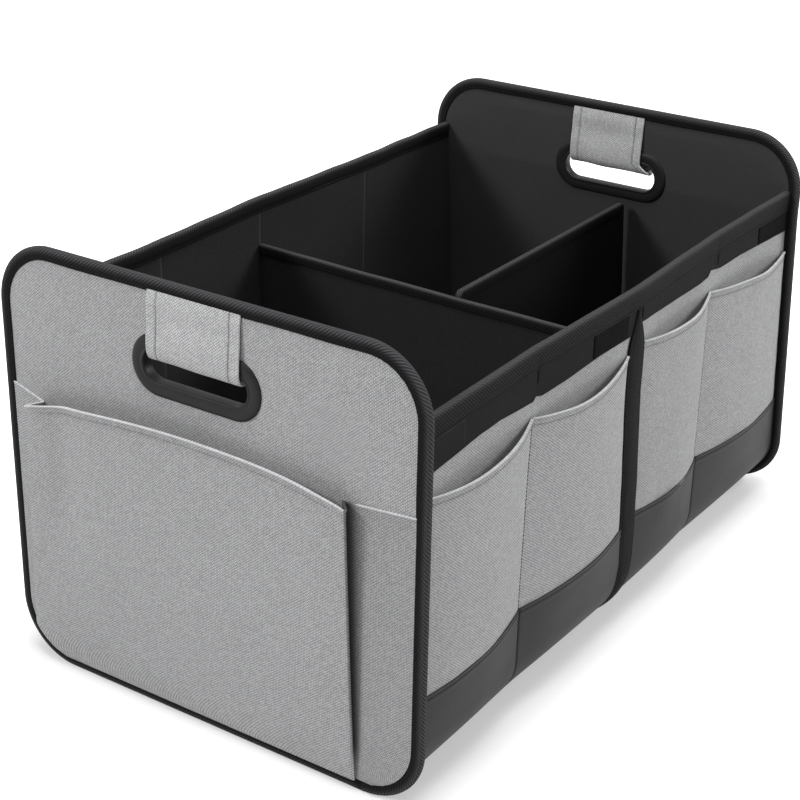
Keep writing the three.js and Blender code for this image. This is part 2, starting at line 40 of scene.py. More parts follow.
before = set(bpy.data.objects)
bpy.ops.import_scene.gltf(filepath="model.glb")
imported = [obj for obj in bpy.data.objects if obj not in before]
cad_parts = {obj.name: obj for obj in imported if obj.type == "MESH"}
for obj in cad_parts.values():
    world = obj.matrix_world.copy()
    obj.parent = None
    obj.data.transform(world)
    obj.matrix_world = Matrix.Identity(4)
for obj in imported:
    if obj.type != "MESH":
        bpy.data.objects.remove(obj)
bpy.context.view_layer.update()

MM = 0.001


def node_size(name):
    low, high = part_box(name)
    return [high[i] - low[i] for i in range(3)]


# Sizes of the frame, in metres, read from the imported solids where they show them.
END_X = -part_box("front_binding")[0][0]
END_THICK = node_size("front_binding")[0]
END_HALF = node_size("front_binding")[1] / 2
END_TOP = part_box("front_binding")[1][2]
END_RADIUS = 48 * MM
END_BAND = 9.5 * MM
SLOT_HALF = 44 * MM
SLOT_TALL = 12 * MM
SLOT_Z = END_TOP - 61 * MM
SLOT_RIGHT = -3.5 * MM
RING_FLANGE = 10.5 * MM
RING_PROUD = 2.4 * MM
STRAP_HALF = 39 * MM

BODY_INSET = 9 * MM
WALL_Y = END_HALF - BODY_INSET
WALL_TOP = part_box("right_top_binding")[1][2]
CORNER_R = END_RADIUS - BODY_INSET
BOTTOM_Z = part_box("bottom_cloth")[0][2]
CORNER_Z = BOTTOM_Z + CORNER_R
CORNER_Y = WALL_Y - CORNER_R
WALL_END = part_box("body_lining")[1][0]
CENTRE_X = 3 * MM
CREASES = np.array([-WALL_END, (CENTRE_X - WALL_END) / 2, CENTRE_X, (CENTRE_X + WALL_END) / 2, WALL_END])
CREASE_OUT = np.array([0, -2, 2, -2, 0]) * MM
TAPE_HALF = 12 * MM
# Each quarter from its front seam to its rear one: drop of the mouth under the wall top, and
# height of the skirt, in mm.
QUARTERS = (
    {"mouth": (53.5, 50), "dip": 5, "skirt": (86.5, 91)},
    {"mouth": (50, 49.5), "dip": 5.5, "skirt": (91, 90.5)},
    {"mouth": (46, 45.5), "dip": 2, "skirt": (96, 96)},
    {"mouth": (46, 54), "dip": 1, "skirt": (96, 91)},
)
# Lower edge of the band: place along the wall and drop under the wall top, in mm.
BAND_EDGE = np.array([
    (-272, 39.5), (-210, 35.2), (-185, 34.8), (-141, 38.2), (-137.5, 35.5), (-130, 37.6), (-100, 37.6),
    (-52, 35.1), (-8, 35.2), (8, 28.8), (40, 29.9), (113, 32.5), (129, 31.6), (133, 27.3), (151, 30.6),
    (187, 30.4), (272, 34.6),
])
# The far end leans out towards its foot, and the last quarter of the walls goes with it.
LEAN_OUT = 26 * MM
LEAN_FROM = 265 * MM
# How far the seam of the front quarters and the middle tape lean at a height, in mm.
FRONT_LEAN = np.array([(35, 94, 146, 190, 250), (-10.5, -10.5, -8.5, -7.0, -3.5)])
MIDDLE_LEAN = np.array([(10, 60, 130, 200), (0, 10, 6, 0)])
REAR_LEAN = 5 * MM
TAPE_DROP = 16.5 * MM
LINING_OUT = -3.5 * MM
DIVIDER_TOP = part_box("cross_divider_binding")[1][2]
REAR_DIVIDER_Y = -19.5 * MM
REAR_DIVIDER_BACK = 3.8 * MM  # how much nearer the cross divider it stands than its node
REAR_DIVIDER_SHORT = 5.0 * MM  # how much sooner it ends
DIVIDER_BEND = 5 * MM
CROSS_SKEW = 7 * MM
CROSS_DROP = 6.3 * MM

# Seams, from the edges they run along.
STRAP_THICK = 1.8 * MM
STRAP_SEAM = 8.5 * MM
RIM_SEAM = 7.8 * MM
HEM_SEAM = 1.2 * MM  # from the foot of a hem towards its mouth
SKIRT_SEAM = 3.0 * MM
SKIRT_LAP = 3 * MM  # how far a side pocket runs down behind the skirt
TAPE_SEAM = 0.78  # share of the middle tape's half width

# The two halves of a wall, up to where they run under the middle tape.
TAPE_LAP = TAPE_HALF - 0.5 * MM
WALL_HALVES = (("front", -WALL_END, CENTRE_X - TAPE_LAP), ("rear", CENTRE_X + TAPE_LAP, WALL_END))
END_POCKET_SEED = {"front": 41, "rear": 43}


class OrganizerSizes(bpy.types.PropertyGroup):
    """Sizes that shape the cloth over the frame."""

    mouth_bulge: bpy.props.FloatProperty(
        name="Mouth bulge",
        description="How far a side pocket stands out at its mouth",
        default=0.0105,
        subtype="DISTANCE",
    )
    skirt_bulge: bpy.props.FloatProperty(
        name="Skirt bulge",
        description="How far a side pocket stands out where the skirt begins",
        default=0.0085,
        subtype="DISTANCE",
    )
    hem_width: bpy.props.FloatProperty(
        name="Hem width",
        description="Width of the folded hem along a pocket mouth",
        default=0.0065,
        subtype="DISTANCE",
    )
    weave_pitch: bpy.props.FloatProperty(
        name="Weave pitch",
        description="Distance from one yarn of the grey cloth to the next",
        default=0.00105,
        subtype="DISTANCE",
    )
    stitch_pitch: bpy.props.FloatProperty(
        name="Stitch pitch",
        description="Distance from one stitch to the next",
        default=0.0030,
        subtype="DISTANCE",
    )
    thread: bpy.props.FloatProperty(
        name="Thread",
        description="Thickness of the sewing thread",
        default=0.0005,
        subtype="DISTANCE",
    )


def colour_property(label, text, value):
    return bpy.props.FloatVectorProperty(
        name=label, description=text, default=value, size=3, subtype="COLOR", min=0.0, max=1.0
    )


class OrganizerColours(bpy.types.PropertyGroup):
    """Linear colours of the cloths, tapes and plastics."""

    grey_cloth: colour_property("Grey cloth", "Cloth of ends, pockets and straps", (0.400, 0.402, 0.408))
    skirt: colour_property("Skirt", "Coated cloth at the foot of the walls", (0.0280, 0.0280, 0.0288))
    lining: colour_property("Lining", "Black cloth inside", (0.0300, 0.0300, 0.0306))
    tape: colour_property("Tape", "Ribbed binding tape", (0.0078, 0.0078, 0.0082))
    # The end lining is the black lining made lighter: painted light for the sheen on the lit inner faces of
    # the ends.
    end_lining: colour_property("End lining", "Black cloth inside the ends", (0.0460, 0.0460, 0.0470))
    band: colour_property("Band", "Black band over the pockets", (0.0115, 0.0115, 0.0120))
    plastic: colour_property("Plastic", "Snap ring of the handle slot", (0.0150, 0.0150, 0.0158))
    board: colour_property("Board", "Stiffener boards inside the cloth", (0.060, 0.056, 0.050))
    base: colour_property("Base board", "Loose boards on the bottom", (0.020, 0.020, 0.021))
    grey_thread: colour_property("Grey thread", "Thread on the grey cloth", (0.200, 0.201, 0.205))
    black_thread: colour_property("Black thread", "Thread on tapes and creases", (0.010, 0.010, 0.0105))
    floor: colour_property("Floor", "Studio floor", (0.600, 0.600, 0.600))


def sizes():
    return bpy.context.scene.organizer_sizes


def colours():
    return bpy.context.scene.organizer_colours


# Shader node groups and materials


class Nodes:
    """Short way to add and link nodes of one tree."""

    def __init__(self, tree):
        self.tree = tree

    def add(self, kind, operation=None, **values):
        node = self.tree.nodes.new(kind)
        if operation:
            node.operation = operation
        for key, value in values.items():
            setattr(node, key, value)
        return node

    def link(self, source, target):
        self.tree.links.new(source, target)

    def math(self, operation, a, b=None, c=None, clamp=False):
        node = self.add("ShaderNodeMath", operation)
        node.use_clamp = clamp
        for socket, value in zip(node.inputs, (a, b, c)):
            if value is None:
                continue
            if isinstance(value, (int, float)):
                socket.default_value = value
            else:
                self.link(value, socket)
        return node.outputs[0]

    def noise(self, vector, scale, detail=3.0, rough=0.55):
        node = self.add("ShaderNodeTexNoise")
        node.inputs["Scale"].default_value = scale
        node.inputs["Detail"].default_value = detail
        node.inputs["Roughness"].default_value = rough
        self.link(vector, node.inputs["Vector"])
        return node.outputs["Fac"]

    def mix(self, factor, a, b):
        node = self.add("ShaderNodeMix", data_type="RGBA")
        for socket, value in ((node.inputs[0], factor), (node.inputs[6], a), (node.inputs[7], b)):
            if isinstance(value, (int, float)):
                socket.default_value = value
            elif isinstance(value, (tuple, list)):
                socket.default_value = (*value[:3], 1.0)
            else:
                self.link(value, socket)
        return node.outputs[2]


def new_group(name, inputs, outputs):
    group = bpy.data.node_groups.new(name, "ShaderNodeTree")
    for label, kind, value in inputs:
        socket = group.interface.new_socket(label, in_out="INPUT", socket_type=kind)
        if value is not None:
            socket.default_value = value
    for label, kind in outputs:
        group.interface.new_socket(label, in_out="OUTPUT", socket_type=kind)
    n = Nodes(group)
    return group, n, n.add("NodeGroupInput"), n.add("NodeGroupOutput")


def weave_group():
    """Plain weave in the cloth's own flat coordinates: its height, and the shade of the yarn on top."""
    name = "Plain weave"
    if name in bpy.data.node_groups:
        return bpy.data.node_groups[name]
    group, n, source, sink = new_group(
        name,
        [
            ("Flat", "NodeSocketVector", None),
            ("Pitch", "NodeSocketFloat", 0.001),
            ("Slub", "NodeSocketFloat", 0.3),
        ],
        [("Height", "NodeSocketFloat"), ("Yarn", "NodeSocketFloat")],
    )
    flat, pitch, slub = source.outputs[0], source.outputs[1], source.outputs[2]
    split = n.add("ShaderNodeSeparateXYZ")
    n.link(flat, split.inputs[0])
    # The weft lies closer than the warp.
    u = n.math("DIVIDE", split.outputs[0], n.math("MULTIPLY", pitch, 1.2))
    v = n.math("DIVIDE", split.outputs[1], pitch)
    # One yarn runs along each direction; it rises and dips from one crossing to the next.
    ridge_u = n.math("ABSOLUTE", n.math("SINE", n.math("MULTIPLY", u, math.pi)))
    ridge_v = n.math("ABSOLUTE", n.math("SINE", n.math("MULTIPLY", v, math.pi)))
    mid_u, mid_v = n.math("SUBTRACT", u, 0.5), n.math("SUBTRACT", v, 0.5)
    over_u = n.math("COSINE", n.math("MULTIPLY", n.math("ADD", mid_v, n.math("FLOOR", u)), math.pi))
    over_v = n.math("COSINE", n.math("MULTIPLY", n.math("ADD", mid_u, n.math("FLOOR", v)), math.pi))
    lift_u = n.math("MULTIPLY_ADD", over_u, 0.5, 0.5)
    lift_v = n.math("MULTIPLY_ADD", over_v, -0.5, 0.5)
    warp = n.math("MULTIPLY", ridge_u, lift_u)
    weft = n.math("MULTIPLY", ridge_v, lift_v)
    weave = n.math("MAXIMUM", warp, weft)
    # Thick and thin places along the yarns.
    stretch = n.add("ShaderNodeMapping")
    stretch.inputs["Scale"].default_value = (900.0, 90.0, 1.0)
    n.link(flat, stretch.inputs["Vector"])
    streak_u = n.noise(stretch.outputs[0], 1.0, 2.0)
    across = n.add("ShaderNodeMapping")
    across.inputs["Scale"].default_value = (90.0, 900.0, 1.0)
    n.link(flat, across.inputs["Vector"])
    streak_v = n.noise(across.outputs[0], 1.0, 2.0)
    streak = n.math("MULTIPLY", n.math("SUBTRACT", n.math("ADD", streak_u, streak_v), 1.0), slub)
    height = n.math("ADD", weave, streak)
    # No two crossings are quite alike.
    cell = n.add("ShaderNodeCombineXYZ")
    n.link(n.math("FLOOR", u), cell.inputs[0])
    n.link(n.math("FLOOR", v), cell.inputs[1])
    speck = n.add("ShaderNodeTexWhiteNoise", noise_dimensions="2D")
    n.link(cell.outputs[0], speck.inputs["Vector"])
    unlike = n.math("MULTIPLY", n.math("SUBTRACT", speck.outputs["Value"], 0.5), 0.45)
    # Warp yarns are a shade lighter than weft yarns.
    tint = n.math("SUBTRACT", n.math("MULTIPLY", warp, 1.15), n.math("MULTIPLY", weft, 0.35))
    shade = n.math("ADD", n.math("MULTIPLY_ADD", tint, 0.85, 0.2), unlike)
    yarn = n.math("ADD", shade, streak, clamp=True)
    n.link(height, sink.inputs[0])
    n.link(yarn, sink.inputs[1])
    return group


def ribs_group():
    """Slanted ribs of binding tape in its own flat coordinates."""
    name = "Tape ribs"
    if name in bpy.data.node_groups:
        return bpy.data.node_groups[name]
    group, n, source, sink = new_group(
        name,
        [
            ("Flat", "NodeSocketVector", None),
            ("Pitch", "NodeSocketFloat", 0.0015),
            ("Slant", "NodeSocketFloat", 0.6),
        ],
        [("Height", "NodeSocketFloat"), ("Rib", "NodeSocketFloat")],
    )
    flat, pitch, slant = source.outputs[0], source.outputs[1], source.outputs[2]
    split = n.add("ShaderNodeSeparateXYZ")
    n.link(flat, split.inputs[0])
    wander = n.math("MULTIPLY", n.math("SUBTRACT", n.noise(flat, 260.0, 2.0), 0.5), 0.0012)
    run = n.math("ADD", n.math("ADD", split.outputs[0], n.math("MULTIPLY", split.outputs[1], slant)), wander)
    wave = n.math("SINE", n.math("MULTIPLY", n.math("DIVIDE", run, pitch), 2 * math.pi))
    rib = n.math("MULTIPLY_ADD", wave, 0.5, 0.5)
    fuzz = n.noise(flat, 2600.0, 2.0, 0.7)
    height = n.math("MULTIPLY_ADD", fuzz, 0.5, rib)
    n.link(height, sink.inputs[0])
    n.link(n.math("MULTIPLY_ADD", fuzz, 0.35, n.math("MULTIPLY", rib, 0.75)), sink.inputs[1])
    return group


def handling_group():
    """Broad, faint shade and gloss changes that handled cloth picks up."""
    name = "Handling"
    if name in bpy.data.node_groups:
        return bpy.data.node_groups[name]
    group, n, source, sink = new_group(
        name,
        [("Object", "NodeSocketVector", None), ("Size", "NodeSocketFloat", 9.0)],
        [("Shade", "NodeSocketFloat"), ("Dust", "NodeSocketFloat")],
    )
    broad = n.add("ShaderNodeTexNoise")
    broad.inputs["Detail"].default_value = 4.0
    n.link(source.outputs[0], broad.inputs["Vector"])
    n.link(source.outputs[1], broad.inputs["Scale"])
    lint = n.noise(source.outputs[0], 620.0, 1.0, 0.4)
    n.link(broad.outputs["Fac"], sink.inputs[0])
    n.link(n.math("MULTIPLY", n.math("SUBTRACT", lint, 0.62), 5.0, clamp=True), sink.inputs[1])
    return group


def place_group(n, group, **links):
    node = n.add("ShaderNodeGroup")
    node.node_tree = group
    for label, value in links.items():
        socket = node.inputs[label]
        if isinstance(value, (int, float)):
            socket.default_value = value
        else:
            n.link(value, socket)
    return node


def start_material(name, roughness, sheen=0.0, specular=0.5):
    material = bpy.data.materials.new(name)
    material.use_nodes = True
    n = Nodes(material.node_tree)
    shader = material.node_tree.nodes["Principled BSDF"]
    shader.inputs["Roughness"].default_value = roughness
    shader.inputs["Sheen Weight"].default_value = sheen
    shader.inputs["Sheen Roughness"].default_value = 0.5
    shader.inputs["Specular IOR Level"].default_value = specular
    coordinates = n.add("ShaderNodeTexCoord")
    return material, n, shader, coordinates


def add_bump(n, shader, height, strength, distance, normal=None):
    bump = n.add("ShaderNodeBump")
    bump.inputs["Strength"].default_value = strength
    bump.inputs["Distance"].default_value = distance
    n.link(height, bump.inputs["Height"])
    if normal is not None:
        n.link(normal, bump.inputs["Normal"])
    if shader is not None:
        n.link(bump.outputs["Normal"], shader.inputs["Normal"])
    return bump.outputs["Normal"]


def scaled(colour, factor):
    return tuple(channel * factor for channel in colour)


def painted_light_and_shade(n, base, colour, light, dark):
    """Painted light and painted shade: lighten a cloth where its own hem value is above 0 and darken it
    where it is below 0.
    """
    hem = n.add("ShaderNodeAttribute", attribute_name="hem").outputs["Fac"]
    lit = n.mix(n.math("MAXIMUM", hem, 0.0), base, scaled(colour, light))
    return n.mix(n.math("MAXIMUM", n.math("MULTIPLY", hem, -1.0), 0.0), lit, scaled(colour, dark))


def woven(name, colour, contrast, pitch=None, roughness=0.8, sheen=0.0, depth=0.0001, gloss=0.04, lint=0.01):
    pitch = pitch or sizes().weave_pitch
    material, n, shader, at = start_material(name, roughness, sheen, gloss)
    weave = place_group(n, weave_group(), Flat=at.outputs["UV"], Pitch=pitch, Slub=0.3)
    handling = place_group(n, handling_group(), Object=at.outputs["Object"])
    cloth = n.mix(weave.outputs["Yarn"], scaled(colour, 1 - contrast), scaled(colour, 1 + contrast * 0.55))
    shade = n.mix(handling.outputs["Shade"], scaled(colour, 0.86), scaled(colour, 1.12))
    blend = n.mix(0.35, cloth, shade)
    linty = n.mix(n.math("MULTIPLY", handling.outputs["Dust"], lint), blend, (0.5, 0.5, 0.5))
    # The hem value paints highlights on hems, edges and creases, and paints shade in folds and seam grooves.
    n.link(painted_light_and_shade(n, linty, colour, 1.9, 0.1), shader.inputs["Base Color"])
    rough = n.math("MULTIPLY_ADD", weave.outputs["Yarn"], -0.12, roughness + 0.06)
    n.link(rough, shader.inputs["Roughness"])
    creases = n.noise(at.outputs["Object"], 42.0, 4.0, 0.6)
    soft = add_bump(n, None, creases, 0.25, 0.0012)
    add_bump(n, shader, weave.outputs["Height"], 0.75, depth, soft)
    return material


def ribbed(name, colour, pitch, slant, contrast, roughness, depth):
    """Ribbed tape: painted highlights on its ribs where its hem value is above 0, painted shade where it is
    below 0, and faint ribs elsewhere.
    """
    material, n, shader, at = start_material(name, roughness, 0.0, 0.04)
    ribs = place_group(n, ribs_group(), Flat=at.outputs["UV"], Pitch=pitch, Slant=slant)
    handling = place_group(n, handling_group(), Object=at.outputs["Object"], Size=14.0)
    hem = n.add("ShaderNodeAttribute", attribute_name="hem").outputs["Fac"]
    crest = n.math("MAXIMUM", hem, 0.0, clamp=True)
    slit = n.math("MULTIPLY", hem, -1.0, clamp=True)
    flat = n.mix(ribs.outputs["Rib"], scaled(colour, 1 - contrast), scaled(colour, 1 + 1.4 * contrast))
    # Painted glints: the crests are the tape's colour made three to twelve times lighter.
    lit = n.mix(ribs.outputs["Rib"], scaled(colour, 3.0), scaled(colour, 12.0))
    # Painted shade in the slits, where the hem value is below 0.
    tape = n.mix(slit, n.mix(crest, flat, lit), scaled(colour, 0.25))
    shade = n.mix(handling.outputs["Shade"], scaled(colour, 0.8), scaled(colour, 1.25))
    blend = n.mix(0.2, tape, shade)
    dusty = n.mix(n.math("MULTIPLY", handling.outputs["Dust"], 0.015), blend, (0.3, 0.3, 0.3))
    n.link(dusty, shader.inputs["Base Color"])
    n.link(n.math("MULTIPLY_ADD", ribs.outputs["Rib"], -0.18, roughness + 0.09), shader.inputs["Roughness"])
    height = n.math("MULTIPLY", ribs.outputs["Height"], n.math("MULTIPLY_ADD", crest, 0.65, 0.35))
    add_bump(n, shader, height, 0.9, depth)
    return material


def coated(name, colour):
    material, n, shader, at = start_material(name, 0.55, 0.0, 0.12)
    weave = place_group(n, weave_group(), Flat=at.outputs["UV"], Pitch=0.0007, Slub=0.15)
    handling = place_group(n, handling_group(), Object=at.outputs["Object"], Size=11.0)
    shade = n.mix(handling.outputs["Shade"], scaled(colour, 0.88), scaled(colour, 1.14))
    fine = n.mix(weave.outputs["Yarn"], scaled(colour, 0.86), scaled(colour, 1.1))
    # The hem value paints shade along the skirt's seam grooves.
    n.link(painted_light_and_shade(n, n.mix(0.4, shade, fine), colour, 1.5, 0.2), shader.inputs["Base Color"])
    n.link(n.math("MULTIPLY_ADD", handling.outputs["Shade"], 0.2, 0.45), shader.inputs["Roughness"])
    creases = n.noise(at.outputs["Object"], 30.0, 4.0, 0.6)
    soft = add_bump(n, None, creases, 0.35, 0.0016)
    add_bump(n, shader, weave.outputs["Height"], 0.25, 0.00006, soft)
    return material


def moulded(name, colour):
    material, n, shader, at = start_material(name, 0.5, 0.0, 0.12)
    grain = n.noise(at.outputs["Object"], 2200.0, 2.0, 0.6)
    rub = n.noise(at.outputs["Object"], 60.0, 4.0, 0.65)
    handled = n.math("MULTIPLY", n.math("SUBTRACT", rub, 0.5), 2.0, clamp=True)
    n.link(n.mix(handled, scaled(colour, 0.92), scaled(colour, 1.35)), shader.inputs["Base Color"])
    n.link(n.math("MULTIPLY_ADD", rub, -0.2, 0.5), shader.inputs["Roughness"])
    add_bump(n, shader, grain, 0.2, 0.00008)
    return material


def fibre_board(name, colour):
    material, n, shader, at = start_material(name, 0.85)
    fibre = n.noise(at.outputs["Object"], 900.0, 4.0, 0.7)
    patch = n.noise(at.outputs["Object"], 25.0, 3.0)
    tone = n.mix(patch, scaled(colour, 0.85), scaled(colour, 1.15))
    n.link(n.mix(n.math("MULTIPLY", fibre, 0.5), tone, scaled(colour, 1.5)), shader.inputs["Base Color"])
    n.link(n.math("MULTIPLY_ADD", fibre, 0.15, 0.75), shader.inputs["Roughness"])
    add_bump(n, shader, fibre, 0.4, 0.0001)
    return material


def sewing_thread(name, colour, gloss):
    material, n, shader, at = start_material(name, 0.55, gloss, gloss)
    twist = n.add("ShaderNodeTexWave", wave_type="BANDS", bands_direction="DIAGONAL")
    twist.inputs["Scale"].default_value = 900.0
    twist.inputs["Distortion"].default_value = 1.0
    n.link(at.outputs["Object"], twist.inputs["Vector"])
    shade = n.mix(twist.outputs["Fac"], scaled(colour, 0.75), scaled(colour, 1.2))
    n.link(shade, shader.inputs["Base Color"])
    n.link(n.math("MULTIPLY_ADD", twist.outputs["Fac"], 0.2, 0.45), shader.inputs["Roughness"])
    add_bump(n, shader, twist.outputs["Fac"], 0.4, 0.00008)
    return material


OXFORD = {"contrast": 0.72, "roughness": 0.85, "sheen": 0.05, "depth": 0.0003, "gloss": 0.2, "lint": 0.05}
HOOKS = {"contrast": 0.5, "pitch": 0.0014, "roughness": 0.85, "depth": 0.0003, "gloss": 0.03, "lint": 0.0}
# Maker, colour, share of that colour, and the maker's own values.
FINISHES = {
    "Grey oxford": (woven, "grey_cloth", 1, OXFORD),
    "Strap cloth": (woven, "grey_cloth", 1.2, OXFORD),
    "Black lining cloth": (woven, "lining", 1, {"contrast": 0.35, "pitch": 0.0012}),
    # The two divider cloths are the black lining made darker: painted shade, strongest on the rear divider.
    "Cross divider cloth": (woven, "lining", 0.75, {"contrast": 0.3, "pitch": 0.0012}),
    "Divider cloth": (woven, "lining", 0.3, {"contrast": 0.3, "pitch": 0.0012}),
    # Painted light: the lining made lighter for the lit inner faces of the ends.
    "End lining cloth": (woven, "end_lining", 1, {"contrast": 0.2, "pitch": 0.0010, "depth": 0.00008}),
    "Hook patch": (woven, "band", 0.55, HOOKS),
    "Ribbed tape": (
        ribbed, "tape", 1,
        {"pitch": 0.0030, "slant": 1.1, "contrast": 0.25, "roughness": 0.7, "depth": 0.0006},
    ),
    "Ribbed band": (
        ribbed, "band", 1,
        {"pitch": 0.0230, "slant": 11.5, "contrast": 0.14, "roughness": 0.75, "depth": 0.00012},
    ),
    "Coated skirt cloth": (coated, "skirt", 1, {}),
    "Moulded plastic": (moulded, "plastic", 1, {}),
    "Stiffener board": (fibre_board, "board", 1, {}),
    "Base board skin": (fibre_board, "base", 1, {}),
    "Grey thread": (sewing_thread, "grey_thread", 1, {"gloss": 0.3}),
    "Black thread": (sewing_thread, "black_thread", 1, {"gloss": 0.02}),
}


def finish(name):
    """The named finish, made on first use."""
    if name in bpy.data.materials:
        return bpy.data.materials[name]
    maker, key, share, values = FINISHES[name]
    return maker(name, scaled(getattr(colours(), key), share), **values)


# Shape helpers. Arrays hold points in metres in the frame's own axes.


def swell(t):
    return np.sin(np.pi * np.clip(t, 0, 1)) ** 0.85


def smooth(edge0, edge1, x):
    t = np.clip((x - edge0) / (edge1 - edge0), 0, 1)
    return t * t * (3 - 2 * t)


def bell(distance, width):
    """1 at no distance, falling away over about the width."""
    return np.exp(-((distance / width) ** 2))


def run_along(line):
    """Length of a line of points up to each of them."""
    return np.concatenate([[0], np.cumsum(np.linalg.norm(np.diff(line, axis=0), axis=1))])


def flat_grid(along, across):
    return np.stack(np.broadcast_arrays(along, across), -1)


def ripple(u, v, size, seed):
    """Smooth, repeatable unevenness over flat coordinates, about -1 to 1."""
    rng = np.random.default_rng(seed)
    total = np.zeros(np.broadcast(u, v).shape)
    weight = 0
    for _ in range(9):
        angle = rng.uniform(0, math.pi)
        length = size * rng.uniform(0.6, 1.8)
        phase = rng.uniform(0, 2 * math.pi)
        amount = length / size
        total += amount * np.sin(2 * math.pi * (u * math.cos(angle) + v * math.sin(angle)) / length + phase)
        weight += amount
    return total * 2.2 / weight


def grid_solid(front, back, flat):
    """Vertices, faces and flat coordinates of a closed sheet between two point grids."""
    nu, nv = front.shape[:2]
    points = np.concatenate([back.reshape(-1, 3), front.reshape(-1, 3)])
    uv = np.concatenate([flat.reshape(-1, 2)] * 2)
    i, j = np.meshgrid(np.arange(nu - 1), np.arange(nv - 1), indexing="ij")
    a = (i * nv + j).ravel()
    b, c, d = a + nv, a + nv + 1, a + 1
    top = nu * nv
    faces = [np.stack([a + top, b + top, c + top, d + top], 1), np.stack([a, d, c, b], 1)]

    def edge(line):
        p, q = line[:-1], line[1:]
        return np.stack([p, q, q + top, p + top], 1)

    along = np.arange(nu) * nv
    across = np.arange(nv)
    faces += [edge(along), edge((along + nv - 1)[::-1])]
    faces += [edge(across[::-1]), edge((nu - 1) * nv + across)]
    return points, np.concatenate(faces), uv


def with_painted_light_and_shade(part, hem):
    """A grid_solid part with a hem value, painted light or painted shade, for each point of its front and
    the one behind it.
    """
    return (*part, np.concatenate([hem.ravel(), hem.ravel()]))


def dense_at(start, stop, step, places, reach_out=4e-3, fine=4e-4):
    """Even columns from start to stop, with fine ones round the given places."""
    xs = [np.linspace(start, stop, max(int(abs(stop - start) / step), 1) + 1)]
    for place in places:
        near = place + np.arange(-reach_out, reach_out + fine / 2, fine)
        xs.append(near[(near > min(start, stop)) & (near < max(start, stop))])
    xs = np.unique(np.round(np.concatenate(xs), 6))
    keep = np.concatenate([[True], np.diff(xs) > 0.4 * fine])
    keep[-1] = True
    return xs[keep]


def rows_to_mouth(part, below, above):
    """Shares of a height from 0 to 1, fine over the last part below a mouth."""
    return np.concatenate([np.linspace(0, 1 - part, below), np.linspace(1 - part, 1, above)[1:]])


def loop_solid(rings, flat):
    """A section carried round a closed loop: rings[station, sectionPoint]."""
    stations, n = rings.shape[:2]
    points = rings.reshape(-1, 3)
    uv = flat.reshape(-1, 2)
    i, j = np.meshgrid(np.arange(stations), np.arange(n), indexing="ij")
    nxt, k = (i + 1) % stations, (j + 1) % n
    faces = np.stack([i * n + j, nxt * n + j, nxt * n + k, i * n + k], -1).reshape(-1, 4)
    return points, faces, uv


def strip_solid(rings, flat):
    """A closed section carried along an open line, with its two ends capped."""
    stations, n = rings.shape[:2]
    i, j = np.meshgrid(np.arange(stations - 1), np.arange(n), indexing="ij")
    k = (j + 1) % n
    faces = np.stack([i * n + j, (i + 1) * n + j, (i + 1) * n + k, i * n + k], -1).reshape(-1, 4)
    caps = [list(range(n))[::-1], [(stations - 1) * n + m for m in range(n)]]
    return rings.reshape(-1, 3), [list(f) for f in faces] + caps, flat.reshape(-1, 2)


def signed_volume(points, faces):
    total = 0.0
    for face in faces:
        p = points[list(face)]
        for m in range(1, len(face) - 1):
            total += float(np.dot(p[0], np.cross(p[m], p[m + 1])))
    return total


def settle(points):
    """Lean the far end and what meets it."""
    points = np.array(points, dtype=float)
    along = np.clip((points[:, 0] - CREASES[3]) / (WALL_END - CREASES[3]), 0, 1)
    points[:, 0] += LEAN_OUT * along * np.clip(1 - points[:, 2] / LEAN_FROM, 0, 1)
    return points


def make_piece(name, solid, material, stands_for=(), sharp=45):
    """One mesh object from points, faces and flat coordinates, facing outwards, riding on the frame.
    The solid may add a hem value for each point, painted light or painted shade, which its cloth shows
    lighter or darker."""
    points, faces, uv, *painted_light_values = solid
    faces = [tuple(int(v) for v in f) for f in faces]
    if signed_volume(points, faces) < 0:
        faces = [f[::-1] for f in faces]
    mesh = bpy.data.meshes.new(name)
    mesh.from_pydata([tuple(p) for p in settle(points)], [], faces)
    layer = mesh.uv_layers.new(name="flat")
    corners = np.empty(len(mesh.loops), dtype=np.int64)
    mesh.loops.foreach_get("vertex_index", corners)
    layer.uv.foreach_set("vector", uv[corners].astype(np.float32).ravel())
    # The hem attribute holds painted light above 0 and painted shade below 0.
    hem = mesh.attributes.new("hem", "FLOAT", "POINT")
    values = painted_light_values[0] if painted_light_values else np.zeros(len(points))
    hem.data.foreach_set("value", values.astype(np.float32))
    mesh.materials.append(finish(material))
    mesh.shade_smooth()
    mesh.set_sharp_from_angle(angle=math.radians(sharp))
    mesh.validate()
    piece = bpy.data.objects.new(name, mesh)
    bpy.context.scene.collection.objects.link(piece)
    if stands_for:
        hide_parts(*stands_for)
    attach(piece, "root")
    return piece


def tape_piece(name, solid, node):
    return make_piece(name, solid, "Ribbed tape", [node], 60)


# Ends: depth runs in from the outer face, right is to the right as seen from outside.

ENDS = {"front": -1, "rear": 1}


def end_point(end, depth, right, z):
    depth, right, z = np.broadcast_arrays(depth, right, z)
    sign = ENDS[end]
    return np.stack([sign * (END_X - depth), sign * right, z], -1)


